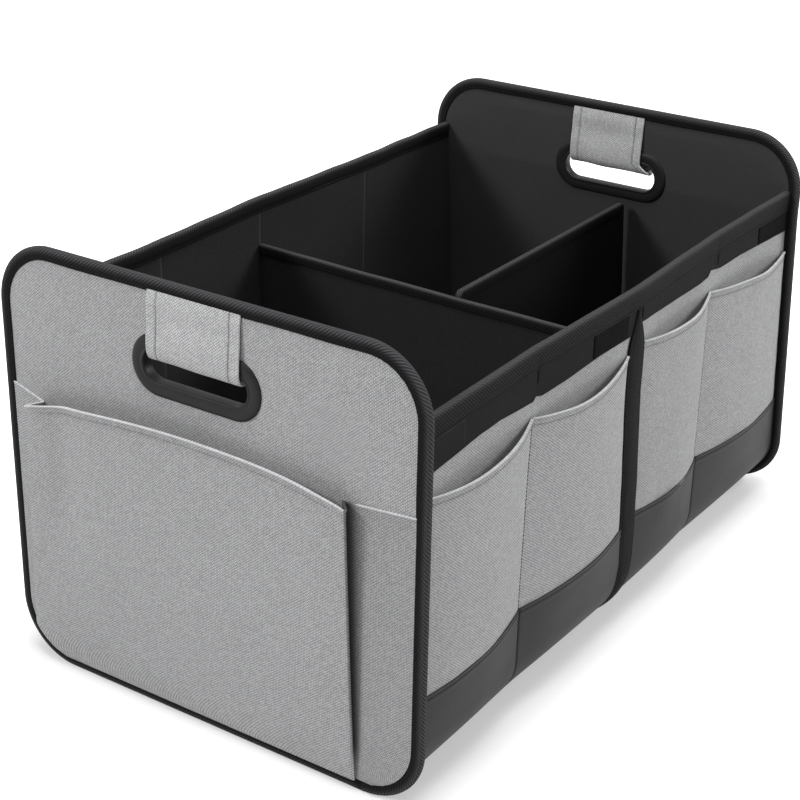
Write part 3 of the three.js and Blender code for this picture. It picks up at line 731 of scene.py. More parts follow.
def rounded_outline(half, low, high, radius, steps, straight=0.006):
    """Evenly filled rounded rectangle: points, outward normals and run length."""
    centres = [
        (half - radius, low + radius, -90),
        (half - radius, high - radius, 0),
        (-(half - radius), high - radius, 90),
        (-(half - radius), low + radius, 180),
    ]
    points, normals = [], []
    for k, (y, z, start) in enumerate(centres):
        for m in range(steps + 1):
            a = math.radians(start + 90 * m / steps)
            points.append((y + radius * math.cos(a), z + radius * math.sin(a)))
            normals.append((math.cos(a), math.sin(a)))
        following = centres[(k + 1) % 4]
        a = math.radians(start + 90)
        p = np.array(points[-1])
        q = np.array((following[0] + radius * math.cos(a), following[1] + radius * math.sin(a)))
        count = max(int(np.linalg.norm(q - p) / straight), 1)
        for m in range(1, count):
            points.append(tuple(p + (q - p) * m / count))
            normals.append((math.cos(a), math.sin(a)))
    points, normals = np.array(points), np.array(normals)
    keep = np.linalg.norm(points - np.roll(points, 1, axis=0), axis=1) > 1e-7
    points, normals = points[keep], normals[keep]
    gaps = np.linalg.norm(np.roll(points, -1, axis=0) - points, axis=1)
    run = np.concatenate([[0], np.cumsum(gaps)[:-1]])
    return points, normals, run


def reach(points, centre, direction):
    """Distance from centre along direction to a closed outline."""
    a = points
    b = np.roll(points, -1, axis=0)
    e = b - a
    d = np.array(direction)
    denominator = d[0] * e[:, 1] - d[1] * e[:, 0]
    w = a - centre
    with np.errstate(divide="ignore", invalid="ignore"):
        t = (w[:, 0] * e[:, 1] - w[:, 1] * e[:, 0]) / denominator
        s = (w[:, 0] * d[1] - w[:, 1] * d[0]) / denominator
    hit = (s >= -1e-9) & (s <= 1 + 1e-9) & (t > 0)
    return t[hit].max()


def end_cloth(end, depth_at, thick, grow):
    """Cloth over an end panel with the slot left open; depth_at(right, z) gives its face."""
    outer, _, _ = rounded_outline(END_HALF - 2 * MM, 2 * MM, END_TOP - 2 * MM, END_RADIUS - 2 * MM, 10)
    slot, _, _ = slot_outline(grow)
    centre = np.array([SLOT_RIGHT, SLOT_Z])
    angles = [np.arctan2(p[:, 1] - centre[1], p[:, 0] - centre[0]) for p in (outer[::2], slot[::2])]
    angles = np.sort(np.concatenate(angles))
    angles = angles[np.concatenate([[True], np.diff(angles) > 1e-4])]
    near = np.array([reach(slot, centre, (math.cos(a), math.sin(a))) for a in angles])
    far = np.array([reach(outer, centre, (math.cos(a), math.sin(a))) for a in angles])
    steps = np.linspace(0, 1, 46) ** 1.15
    radius = near[:, None] + (far - near)[:, None] * steps[None, :]
    right = centre[0] + radius * np.cos(angles)[:, None]
    z = centre[1] + radius * np.sin(angles)[:, None]
    depth = depth_at(right, z)
    face = end_point(end, depth, right, z)
    back = end_point(end, depth + thick, right, z)
    flat = np.stack([right, z], -1)
    n, m = right.shape
    points = np.concatenate([back.reshape(-1, 3), face.reshape(-1, 3)])
    uv = np.concatenate([flat.reshape(-1, 2)] * 2)
    i, j = np.meshgrid(np.arange(n), np.arange(m - 1), indexing="ij")
    nxt = (i + 1) % n
    a, b, c, d = i * m + j, nxt * m + j, nxt * m + j + 1, i * m + j + 1
    top = n * m
    quads = [np.stack([a + top, b + top, c + top, d + top], -1), np.stack([a, d, c, b], -1)]
    ring = np.arange(n)
    after = (ring + 1) % n
    inner = np.stack([ring * m, after * m, after * m + top, ring * m + top], -1)
    rim = ring * m + m - 1
    rim_next = after * m + m - 1
    outside = np.stack([rim, rim + top, rim_next + top, rim_next], -1)
    faces = np.concatenate([q.reshape(-1, 4) for q in (*quads, inner, outside)])
    return points, faces, uv


def slot_outline(grow, steps=14):
    tall = SLOT_TALL + grow
    points, normals, run = rounded_outline(
        SLOT_HALF + grow, SLOT_Z - tall, SLOT_Z + tall, tall - 1e-5, steps, 0.005
    )
    return points + np.array([SLOT_RIGHT, 0.0]), normals, run


# Walls: side is -1 for the wall at -Y and 1 for the wall at +Y.

SIDES = {"right": -1, "left": 1}


def crease_out(x):
    return np.interp(x, CREASES, CREASE_OUT)


def wall_point(side, x, out, height, below=None):
    """A point of a wall. out is from the wall cloth's outer face, and below replaces it under the
    bottom. height is from where the corner begins, and a negative one runs on round the corner
    and along the bottom."""
    x, out, height = np.broadcast_arrays(x, out, height)
    under = out if below is None else below
    turn = np.clip(-height / CORNER_R, 0, math.pi / 2)
    beyond = np.maximum(-height - CORNER_R * math.pi / 2, 0)
    across = CORNER_Y + (CORNER_R + out + crease_out(x)) * np.cos(turn) - beyond
    z = CORNER_Z + np.maximum(height, 0) - (CORNER_R + under) * np.sin(turn)
    return np.stack([x, SIDES[side] * across, z], -1)


def wall_solid(side, x, front, back, height, flat):
    """A sheet on a wall between two depths."""
    return grid_solid(wall_point(side, x, front, height), wall_point(side, x, back, height), flat)


def quarter_spans():
    """Where each quarter's pocket starts and stops, clear of the seams and the middle tape."""
    edge = 0.4 * MM
    clear = [edge, edge, TAPE_HALF + 0.3 * MM, edge, edge]
    return [(CREASES[i] + clear[i], CREASES[i + 1] - clear[i + 1]) for i in range(4)]


def fine_columns(start, stop, step):
    inside = [c for c in CREASES if start + 1e-6 < c < stop - 1e-6]
    stops = [start, *inside, stop]
    xs = [np.linspace(a, b, max(int((b - a) / step), 1) + 1) for a, b in zip(stops, stops[1:])]
    return np.concatenate([xs[0]] + [x[1:] for x in xs[1:]])


def quarter_value(x, key):
    """A size of the quarters along a wall, straight from seam to seam and between them."""
    places = np.array(quarter_spans()).ravel()
    return np.interp(x, places, np.array([q[key] for q in QUARTERS]).ravel() * MM)


def quarter_t(x):
    """How far across its quarter a place lies."""
    t = np.zeros(np.shape(x))
    for a, b in quarter_spans():
        t = np.where((x >= a - 1 * MM) & (x <= b + 1 * MM), np.clip((x - a) / (b - a), 0, 1), t)
    return t


def band_low(x):
    """Lower edge of the band."""
    return WALL_TOP - np.interp(x, BAND_EDGE[:, 0] * MM, BAND_EDGE[:, 1] * MM)


def lean(x, z):
    """Where a place along a wall really lies: the seams and the middle tape lean a little."""
    front = np.interp(z, FRONT_LEAN[0] * MM, FRONT_LEAN[1] * MM)
    middle = np.interp(z, MIDDLE_LEAN[0] * MM, MIDDLE_LEAN[1] * MM)
    hats = [np.interp(x, CREASES, np.arange(5) == k) for k in (1, 2, 3)]
    return x + hats[0] * front + hats[1] * middle - hats[2] * REAR_LEAN


def mouth_z(index, t):
    quarter = QUARTERS[index - 1]
    start, stop = quarter["mouth"]
    return WALL_TOP - (start + (stop - start) * t) * MM - quarter["dip"] * MM * swell(t)


def skirt_top(x):
    return quarter_value(x, "skirt")


def pocket_out(index, side, t, k):
    """Stand-off of a side pocket's cloth: t from one seam to the other, k from skirt to mouth."""
    s = sizes()
    bulge = s.skirt_bulge + (s.mouth_bulge - s.skirt_bulge) * k
    seed = 10 * index + (3 if side == "right" else 7)
    soft = 0.6 * MM * ripple(t * 0.135, k * 0.14, 0.06, seed) * np.sin(np.pi * np.clip(t, 0, 1))
    # Short pleats run in from the seams.
    near_seam = bell(t - 0.06, 0.05) + bell(t - 0.94, 0.05)
    pucker = 0.22 * MM * near_seam * np.sin(k * 30 + seed)
    return 0.3 * MM + bulge * swell(t) + soft + pucker


def skirt_out(x, height, side):
    """Stand-off of the skirt: it follows the pockets above and dies away round the corner."""
    t = quarter_t(x)
    top = skirt_top(x) - CORNER_Z
    up = np.clip(height / top, -1, 1)
    fall = np.interp(up, (-1.0, -0.6, -0.35, 0.0, 0.5, 1.0), (0.0, 0.02, 0.16, 0.5, 0.8, 1.0))
    seed = 51 if side == "right" else 57
    soft = 0.5 * MM * ripple(x, height, 0.06, seed) * np.sin(np.pi * t) * fall
    return 0.3 * MM + (sizes().skirt_bulge * fall + soft) * swell(t)


class PieceOperator(bpy.types.Operator):
    """Shared settings of the organizer's operators."""

    bl_options = {"REGISTER", "UNDO"}


class ORGANIZER_OT_boards(PieceOperator):
    """Give the stiffener boards inside the cloth their fibre finish"""

    bl_idname = "organizer.boards"
    bl_label = "Stiffener boards"

    def execute(self, context):
        names = ["front_board"] + [f"{s}_board_{i}" for s in SIDES for i in range(1, 5)]
        for name in names:
            node = bpy.data.objects[name]
            node.data.materials.clear()
            node.data.materials.append(finish("Stiffener board"))
        # The far board leans with its cloth, so it is drawn anew.
        cover = 1.8 * MM
        sheet = end_cloth("rear", lambda right, z: 0 * right + cover, END_THICK - 2 * cover, 2.0 * MM)
        make_piece("rear_stiffener", sheet, "Stiffener board", ["rear_board"])
        return {"FINISHED"}


class ORGANIZER_OT_end_cloths(PieceOperator):
    """Make the grey cloth and the black lining of both ends"""

    bl_idname = "organizer.end_cloths"
    bl_label = "End cloths"

    def execute(self, context):
        for end in ENDS:
            seed = 1 if end == "front" else 2

            def edge_ease(right, z):
                side = smooth(0, 12 * MM, END_HALF - END_BAND - np.abs(right))
                up = smooth(0, 12 * MM, END_TOP - END_BAND - z)
                return side * up

            def outside(right, z):
                return 0.95 * MM - 0.55 * MM * (1 + ripple(right, z, 0.07, seed)) * edge_ease(right, z) / 2

            def inside(right, z):
                lift = 0.9 * MM * (1 + ripple(right, z, 0.10, seed + 4)) * edge_ease(right, z) / 2
                return END_THICK - 0.95 * MM + lift

            cloth = make_piece(
                f"{end}_end_cloth",
                end_cloth(end, outside, 0.6 * MM, 2.0 * MM),
                "Grey oxford",
                [f"{end}_outer_cloth"],
            )
            lining = make_piece(
                f"{end}_end_lining",
                end_cloth(end, inside, -0.6 * MM, 2.0 * MM),
                "End lining cloth",
                [f"{end}_lining"],
            )
        return {"FINISHED"}


class ORGANIZER_OT_end_tapes(PieceOperator):
    """Fold the ribbed tape over the rim of both ends"""

    bl_idname = "organizer.end_tapes"
    bl_label = "End tapes"

    def execute(self, context):
        section = end_tape_loop()
        lengths = run_along(section)
        outline, normals, run = rounded_outline(END_HALF, 0.0, END_TOP, END_RADIUS, 22, 0.004)
        for end in ENDS:
            # The tape puckers a little between stitches and wanders in width.
            seed = 5 if end == "front" else 6
            wander = ripple(run, run * 0, 0.05, seed)[:, None]
            pucker = 0.10 * MM * np.sin(2 * math.pi * run / 0.009)[:, None]
            out = section[None, :, 0] * (1 + 0.03 * wander)
            face = np.sign(section[None, :, 1] - END_THICK / 2)
            depth = section[None, :, 1] + face * pucker * (section[None, :, 0] < -2 * MM)
            right = outline[:, None, 0] + normals[:, None, 0] * out
            z = outline[:, None, 1] + normals[:, None, 1] * out
            rings = end_point(end, depth, right, z)
            solid = loop_solid(rings, flat_grid(run[:, None], lengths[None, :]))
            # Painted highlight along the crest where the tape folds over the rim.
            crest = smooth(-5.0 * MM, -1.2 * MM, section[:, 0])
            tape_piece(f"{end}_end_tape", (*solid, np.tile(crest, len(outline))), f"{end}_binding")
        return {"FINISHED"}


def end_tape_loop():
    """Closed outline of the tape folded over the rim, outer skin first and inner skin back."""
    thick = END_THICK
    skin = [
        (-9.5, 0.75), (-9.45, 0.3), (-9.0, 0.05), (-8.3, -0.02), (-7.8, 0.1), (-7.3, -0.04), (-5.5, -0.12),
        (-3.4, -0.1), (-1.9, 0.12), (-0.9, 0.6), (-0.25, 1.5),
    ]
    skin = [(a * MM, b * MM) for a, b in skin]
    far = [(a, thick - b) for a, b in reversed(skin)]
    lined = [(-9.3, 0.88), (-3.0, 0.84), (-1.8, 1.2), (-1.05, 2.2)]
    lined = [(a * MM, b * MM) for a, b in lined]
    back = [(a, thick - b) for a, b in lined]
    return np.array(skin + [(0.0, thick / 2)] + far + back + list(reversed(lined)))


class ORGANIZER_OT_rings(PieceOperator):
    """Turn the two snap halves of each handle ring"""

    bl_idname = "organizer.rings"
    bl_label = "Handle rings"

    def execute(self, context):
        seat, proud = 0.7, 2.4
        reach_in = END_THICK / MM / 2 - 0.1
        # Out from the slot, and in from the ring's face.
        face = [
            (0.0, 1.0), (0.25, 0.35), (0.9, 0.0), (1.6, 0.05), (2.0, 0.35), (2.6, 0.42), (3.4, 0.25),
            (5.0, 0.12), (7.2, 0.1), (8.8, 0.35), (9.9, 0.95), (10.5, 1.7),
        ]
        face = [(a, seat - proud + b) for a, b in face]
        section = np.array([(0.0, reach_in), *face, (10.5, seat), (1.6, seat), (1.6, reach_in)]) * MM
        lengths = run_along(section)
        outline, normals, run = slot_outline(0.0, 28)
        flat = flat_grid(run[:, None], lengths[None, :])
        for end in ENDS:
            for half in ("outer", "inner"):
                depth = section[None, :, 1] if half == "outer" else END_THICK - section[None, :, 1]
                right = outline[:, None, 0] + normals[:, None, 0] * section[None, :, 0]
                z = outline[:, None, 1] + normals[:, None, 1] * section[None, :, 0]
                make_piece(
                    f"{end}_snap_ring_{half}",
                    loop_solid(end_point(end, depth, right, z), flat),
                    "Moulded plastic",
                    [f"{end}_ring_{half}"],
                    50,
                )
        return {"FINISHED"}


def strap_line():
    """Middle of the strap from the top tape over the ring, through the slot and up inside."""
    rest = 0.7 * MM - STRAP_THICK / 2
    over = 0.7 * MM - RING_PROUD - 0.35 * MM - STRAP_THICK / 2
    slot_top = SLOT_Z + SLOT_TALL
    ring_top = slot_top + RING_FLANGE
    keys = [
        (rest + 0.5 * MM, END_TOP - END_BAND + 1.5 * MM),
        (rest - 0.8 * MM, END_TOP - END_BAND - 6 * MM),
        (rest - 1.0 * MM, ring_top + 12 * MM),
        (over + 0.6 * MM, ring_top + 3 * MM),
        (over, ring_top - 2 * MM),
        (over - 0.2 * MM, slot_top + 2 * MM),
        (over + 0.1 * MM, slot_top - 3.2 * MM),
        (over + 1.6 * MM, slot_top - 7.0 * MM),
        (END_THICK / 2 - 1.6 * MM, slot_top - 8.4 * MM),
        (END_THICK / 2, slot_top - 8.6 * MM),
    ]
    keys += [(END_THICK - d, z) for d, z in reversed(keys[:-1])]
    keys = np.array(keys)
    gaps = run_along(keys)
    s = np.linspace(0, gaps[-1], 150)
    line = np.stack([np.interp(s, gaps, keys[:, 0]), np.interp(s, gaps, keys[:, 1])], -1)
    for _ in range(10):
        line[1:-1] = (line[:-2] + 2 * line[1:-1] + line[2:]) / 4
    direction = np.gradient(line, axis=0)
    direction /= np.linalg.norm(direction, axis=1)[:, None]
    normal = np.stack([direction[:, 1], -direction[:, 0]], -1)
    return line, normal, run_along(line)


def strap_thickness(right):
    """The strap is two layers: flat edges, and a groove where it is sewn."""
    edge = STRAP_HALF - np.abs(right - SLOT_RIGHT)
    groove = bell(edge - STRAP_SEAM, 0.9 * MM)
    round_edge = np.sqrt(np.clip(edge / (0.8 * MM), 0.06, 1))
    return STRAP_THICK * (round_edge - 0.42 * groove)


def drawn_in(right, share):
    """Inside, the strap is drawn in a little; share is how far along it a place lies."""
    return right + smooth(0.52, 0.62, share) * (4.5 * MM - 0.115 * (right - SLOT_RIGHT))


class ORGANIZER_OT_straps(PieceOperator):
    """Lay the grey strap over each ring and through its slot"""

    bl_idname = "organizer.straps"
    bl_label = "Handle straps"

    def execute(self, context):
        line, normal, run = strap_line()
        sewn = STRAP_HALF - STRAP_SEAM
        places = (-STRAP_HALF, -sewn, sewn, STRAP_HALF)
        base = SLOT_RIGHT + dense_at(-STRAP_HALF, STRAP_HALF, 0.0016, places, 2.4 * MM)
        for end in ENDS:
            right = base[None, :]
            thick = strap_thickness(right)
            from_edge = STRAP_HALF - np.abs(right - SLOT_RIGHT)
            # Painted highlight along the strap's edges and painted shade along its sewn grooves.
            shown = 0.25 * smooth(1.2 * MM, 0.2 * MM, from_edge)
            shown = shown - 0.45 * bell(from_edge - STRAP_SEAM, 0.8 * MM)
            hem = np.broadcast_to(shown, (len(line), len(base)))
            right = drawn_in(right, (run / run[-1])[:, None])
            seed = 31 if end == "front" else 33
            sag = 0.35 * MM * ripple(run[:, None], right, 0.03, seed)
            faces = []
            for way in (1, -1):
                shift = way * thick / 2 + sag
                depth = line[:, None, 0] + normal[:, None, 0] * shift
                z = line[:, None, 1] + normal[:, None, 1] * shift
                faces.append(end_point(end, depth, right, z))
            flat = flat_grid(right, run[:, None])
            strap = make_piece(
                f"{end}_handle_strap",
                with_painted_light_and_shade(grid_solid(faces[0], faces[1], flat), hem),
                "Strap cloth",
                [f"{end}_strap"],
            )
        return {"FINISHED"}


def end_pocket_half(z):
    inset = END_BAND - 1.0 * MM
    corner = END_RADIUS - inset
    drop = np.maximum(END_RADIUS - z, 0)
    return END_HALF - END_RADIUS + np.sqrt(np.maximum(corner**2 - drop**2, 0))


END_POCKET = {"bottom": 9.4 * MM, "mouth": END_TOP - 114 * MM, "arch": 12.5 * MM}
# Fold at the back, fold in front, foot of the front fold, depth
PLEATS = {"left": (-143, -144.5, -166, 18), "right": (114, 125, 127.5, 12)}


def end_pocket_surface():
    """Depth, right and height of the pleated pocket's inner face, with flat coordinates."""
    counts = [10, 14, 120, 16, 22]
    ground = 0.6 * MM
    bottom, mouth_edge = END_POCKET["bottom"], END_POCKET["mouth"]
    grid = []
    rows = rows_to_mouth(0.075, 60, 38)
    middle = len(rows) // 2
    for r in rows:
        opened = r**0.8
        half = float(end_pocket_half(bottom + (mouth_edge - 4 * MM - bottom) * r))
        shut = 2.8 * MM

        def fold(key, place, room):
            back, out, foot, _ = PLEATS[key]
            if place == "front":
                y = foot + (out - foot) * opened
            else:
                start = foot + (1.5 if key == "left" else -4.0)
                y = start + (back - start) * opened
            return math.copysign(min(abs(y) * MM, half - room), y)

        in_left, in_right = fold("left", "back", 3 * MM), fold("right", "back", 5 * MM)
        out_left, out_right = fold("left", "front", 4.5 * MM), fold("right", "front", 6 * MM)
        t = np.linspace(0, 1, counts[2] + 1)
        deep = (PLEATS["left"][3] + (PLEATS["right"][3] - PLEATS["left"][3]) * t) * MM
        # The middle of the mouth is drawn back towards the panel.
        crown = (3.0 * math.sin(math.pi * opened) - 4.0 * opened**2) * MM * np.sin(np.pi * t)
        depth = ground - shut - (deep - shut) * opened - crown
        front = np.stack([depth, out_left + (out_right - out_left) * t], -1)
        keys = [
            np.array([[ground, -half], [ground, in_left]]),
            np.array([[ground, in_left], front[0]]),
            front,
            np.array([front[-1], [ground, in_right]]),
            np.array([[ground, in_right], [ground, half]]),
        ]
        heights = [(6, -3), (-3, 0), None, (0, -1), (-1, 4)]
        line = []
        for k, (key, height) in enumerate(zip(keys, heights)):
            if k == 2:
                mouth = mouth_edge + END_POCKET["arch"] * np.clip(np.sin(np.pi * t), 0, 1) ** 0.7
                part = np.column_stack([front, mouth])
            else:
                s = np.linspace(0, 1, counts[k] + 1)[:, None]
                low, high = mouth_edge + height[0] * MM, mouth_edge + height[1] * MM
                part = np.column_stack([key[0] + (key[1] - key[0]) * s, low + (high - low) * s])
            line.append(part if k == 0 else part[1:])
        line = np.concatenate(line)
        line[1:-1] = (line[:-2] + 2 * line[1:-1] + line[2:]) / 4
        line[:, 2] = bottom + (line[:, 2] - bottom) * r
        grid.append(line)
    grid = np.array(grid).transpose(1, 0, 2)
    return grid, flat_grid(run_along(grid[:, middle, :2])[:, None], grid[:, :, 2])


def grid_normals(grid):
    du = np.gradient(grid, axis=0)
    dv = np.gradient(grid, axis=1)
    normal = np.cross(du, dv)
    return normal / np.maximum(np.linalg.norm(normal, axis=2), 1e-12)[..., None]


def end_pocket_faces(seed):
    grid, flat = end_pocket_surface()
    normal = grid_normals(grid)
    # Out of the panel is towards smaller depth.
    if normal[80, grid.shape[1] // 2, 0] > 0:
        normal = -normal
    below_mouth = grid[:, -1:, 2] - grid[:, :, 2]
    hem = sizes().hem_width
    folded = 0.55 * MM * smooth(hem + 0.6 * MM, hem - 0.2 * MM, below_mouth)
    groove = -0.35 * MM * bell(below_mouth - hem + HEM_SEAM, 0.7 * MM)
    height = np.clip((grid[:, :, 2] - END_POCKET["bottom"]) / 0.2, 0, 1)
    place = np.arange(grid.shape[0])[:, None]
    on_front = smooth(24, 40, place) * smooth(144, 130, place)
    slack = 1.0 * MM * ripple(flat[..., 0], flat[..., 1], 0.10, seed) * on_front * smooth(0, 0.12, height)
    lip = 1.0 * MM * smooth(1.7 * MM, 0.3 * MM, below_mouth)
    thick = 0.9 * MM + (folded + groove) * (0.35 + 0.65 * on_front) + lip * (0.6 + 0.4 * on_front)
    # The front hangs in a shallow trough beside its left pleat.
    trough = bell(grid[..., 1] + 116 * MM, 17 * MM) * smooth(0.15, 0.9, height)
    slack = slack - 2.6 * MM * trough * on_front
    outer = grid + normal * (thick + slack)[..., None]
    inner = grid + normal * slack[..., None]
    seam = bell(below_mouth - hem + HEM_SEAM, 0.6 * MM) * on_front
    # Painted shade: little light gets between the front and the fold beside it, so that cloth is darkened,
    # and more faintly beyond it. A painted highlight runs along the mouth's lip and painted shade along the
    # hem's stitch groove.
    fold = smooth(143.5, 145.5, place) * smooth(166, 162, place) * smooth(0, 0.15, height)
    beside = smooth(160, 166, place)
    lit = 0.4 * smooth(1.5 * MM, 0.5 * MM, below_mouth) * (1 - fold)
    shown = lit - 0.24 * seam - 0.97 * fold - 0.16 * beside * (1 - fold) * (lit < 0.1)
    return outer, inner, flat, shown


class ORGANIZER_OT_end_pockets(PieceOperator):
    """Fold the wide pleated pocket of each end"""

    bl_idname = "organizer.end_pockets"
    bl_label = "End pockets"

    def execute(self, context):
        for end in ENDS:
            outer, inner, flat, shown = end_pocket_faces(END_POCKET_SEED[end])
            faces = [end_point(end, g[..., 0], g[..., 1], g[..., 2]) for g in (outer, inner)]
            pocket = make_piece(
                f"{end}_pleated_pocket",
                with_painted_light_and_shade(grid_solid(faces[0], faces[1], flat), shown),
                "Grey oxford",
                [f"{end}_pocket"],
            )
        return {"FINISHED"}


def tape_half(z):
    """Half width of the middle tape: pinched under the rim, full below."""
    return TAPE_HALF * (0.16 + 0.84 * smooth(WALL_TOP - 14 * MM, WALL_TOP - 50 * MM, z))


# Sewn on each half of the band: a tab by the end or the middle, and a patch of hook tape.
BAND_TABS = {"front": (-WALL_END + 1 * MM, -0.2295, 15.5 * MM), "rear": (0.0088, 0.0430, 12.5 * MM)}
HOOK_PATCHES = {"front": (-0.0615, -0.0120, 12.0 * MM), "rear": (0.2210, WALL_END - 1 * MM, 15.0 * MM)}
BAND_SLITS = (-0.1360, 0.1459)


def band_out(x, z):
    """Outer face of the band, dipping a little where the walls crease."""
    out = 0.65 * MM + 0.10 * MM * ripple(x, z, 0.03, 63)
    for slit in BAND_SLITS:
        out = out - 0.6 * MM * bell(x - slit, 1.3 * MM) * band_slit_share(z)
    return out


def band_slit_share(z):
    """How much of a slit shows at a height: all of it in the middle of the band."""
    under_rim = smooth(WALL_TOP - 8 * MM, WALL_TOP - 12 * MM, z)
    return under_rim * smooth(WALL_TOP - 29 * MM, WALL_TOP - 25 * MM, z)


def band_patch(side, first, last, drop):
    """A flat patch sewn on the band; its top edge is its hem, which gets a painted highlight."""
    rows = np.concatenate([np.linspace(0, 0.9, 20), np.linspace(0.92, 1, 8)])
    x, k = np.meshgrid(np.linspace(first, last, 40), rows, indexing="ij")
    low = band_low(x) + 1.0 * MM
    z = low + (WALL_TOP - drop - low) * k
    face = band_out(x, z)
    edge = np.minimum(np.minimum(x - first, last - x), z - low)
    swollen = 0.55 * MM + 0.35 * MM * smooth(0, 1.0 * MM, edge)
    h = z - CORNER_Z
    solid = wall_solid(side, x, face + swollen, face, h, np.stack([x, z], -1))
    # Painted highlight along the top edge.
    return with_painted_light_and_shade(solid, 0.75 * smooth(1.6 * MM, 0.6 * MM, WALL_TOP - drop - z))


class ORGANIZER_OT_wall_cloths(PieceOperator):
    """Stretch the grey cloth and the black band over both long walls"""

    bl_idname = "organizer.wall_cloths"
    bl_label = "Wall cloths"

    def execute(self, context):
        for side in SIDES:
            xs = fine_columns(-WALL_END, WALL_END, 0.004)
            heights = np.linspace(CORNER_Z + 0.3 * MM, WALL_TOP - 1 * MM, 50)
            x, z = np.meshgrid(xs, heights, indexing="ij")
            soft = 0.12 * MM * ripple(x, z, 0.05, 61)
            cloth = make_piece(
                f"{side}_backing_cloth",
                wall_solid(side, x, soft, soft - 0.6 * MM, z - CORNER_Z, np.stack([x, z], -1)),
                "Grey oxford",
                [f"{side}_wall_cloth"],
            )
            for part, start, stop in WALL_HALVES:
                xs = dense_at(start, stop, 0.0014, BAND_SLITS, 1.6 * MM)
                t = np.linspace(0, 1, 30)
                x, k = np.meshgrid(xs, t, indexing="ij")
                low = band_low(x)
                z = low + (WALL_TOP - 1.2 * MM - low) * k
                # Its end follows the middle tape, which is pinched narrow under the rim.
                room = (TAPE_HALF - tape_half(z)) * smooth(30 * MM, 0, np.abs(x - CENTRE_X) - TAPE_LAP)
                x = x + np.where(x < CENTRE_X, room, -room)
                out = band_out(x, z)
                rim = 0.35 * MM * (1 - smooth(0, 0.08, k))
                slit = np.min(np.abs(x[..., None] - np.array(BAND_SLITS)), axis=-1)
                # Painted shade in the band's slits.
                shown = -bell(slit, 1.7 * MM) * band_slit_share(z)
                solid = wall_solid(side, x, out + rim, 0.05 * MM, z - CORNER_Z, np.stack([x, z], -1))
                band = make_piece(
                    f"{side}_black_band_{part}",
                    with_painted_light_and_shade(solid, shown),
                    "Ribbed band",
                    [f"{side}_band_{part}"],
                )
                for label, cloth, (first, last, drop) in (
                    ("band_tab", "Ribbed band", BAND_TABS[part]),
                    ("hook_patch", "Hook patch", HOOK_PATCHES[part]),
                ):
                    solid = band_patch(side, first, last, drop)
                    patch = make_piece(f"{side}_{label}_{part}", solid, cloth)
        return {"FINISHED"}


def side_pocket_faces(index, side, start, stop):
    t, k = np.meshgrid(np.linspace(0, 1, 70), rows_to_mouth(0.1, 46, 34), indexing="ij")
    x = start + (stop - start) * t
    bottom = skirt_top(x) - SKIRT_LAP
    top = mouth_z(index, t)
    z = bottom + (top - bottom) * k
    out = pocket_out(index, side, t, k)
    below = top - z
    hem = sizes().hem_width
    folded = 0.45 * MM * smooth(hem + 0.6 * MM, hem - 0.2 * MM, below)
    groove = -0.35 * MM * bell(below - hem + HEM_SEAM, 0.8 * MM)
    lip = 0.9 * MM * smooth(1.6 * MM, 0.3 * MM, below)
    # Painted highlight along the mouth's lip and painted shade along the hem's stitch groove.
    seam = bell(below - hem + HEM_SEAM, 0.7 * MM)
    shown = 0.3 * smooth(1.4 * MM, 0.5 * MM, below) - 0.2 * seam
    return x, z, out, out + 0.8 * MM + folded + groove + lip, shown


class ORGANIZER_OT_side_pockets(PieceOperator):
    """Make the bulging grey pocket of each quarter of the long walls"""

    bl_idname = "organizer.side_pockets"
    bl_label = "Side pockets"

    def execute(self, context):
        for side in SIDES:
            for index, (start, stop) in enumerate(quarter_spans(), 1):
                x, z, back, front, shown = side_pocket_faces(index, side, start, stop)
                flat = np.stack([x, z], -1)
                solid = wall_solid(side, lean(x, z), front, back, z - CORNER_Z, flat)
                pocket = make_piece(
                    f"{side}_side_pocket_{index}",
                    with_painted_light_and_shade(solid, shown),
                    "Grey oxford",
                    [f"{side}_pocket_{index}"],
                )
        return {"FINISHED"}


CORNER_ARC = CORNER_R * math.pi / 2


def round_the_body(down):
    """Down the right wall by the given heights, across the bottom and up the left wall the same
    way: the side, the height and the run of each row."""
    across = np.linspace(-CORNER_ARC, -CORNER_ARC - CORNER_Y, 12)[1:]
    heights = np.concatenate([*down, across])
    sides = ["right"] * len(heights) + ["left"] * (len(heights) - 1)
    path = np.concatenate([heights, heights[-2::-1]])
    return sides, path, np.concatenate([[0], np.cumsum(np.abs(np.diff(path)))])


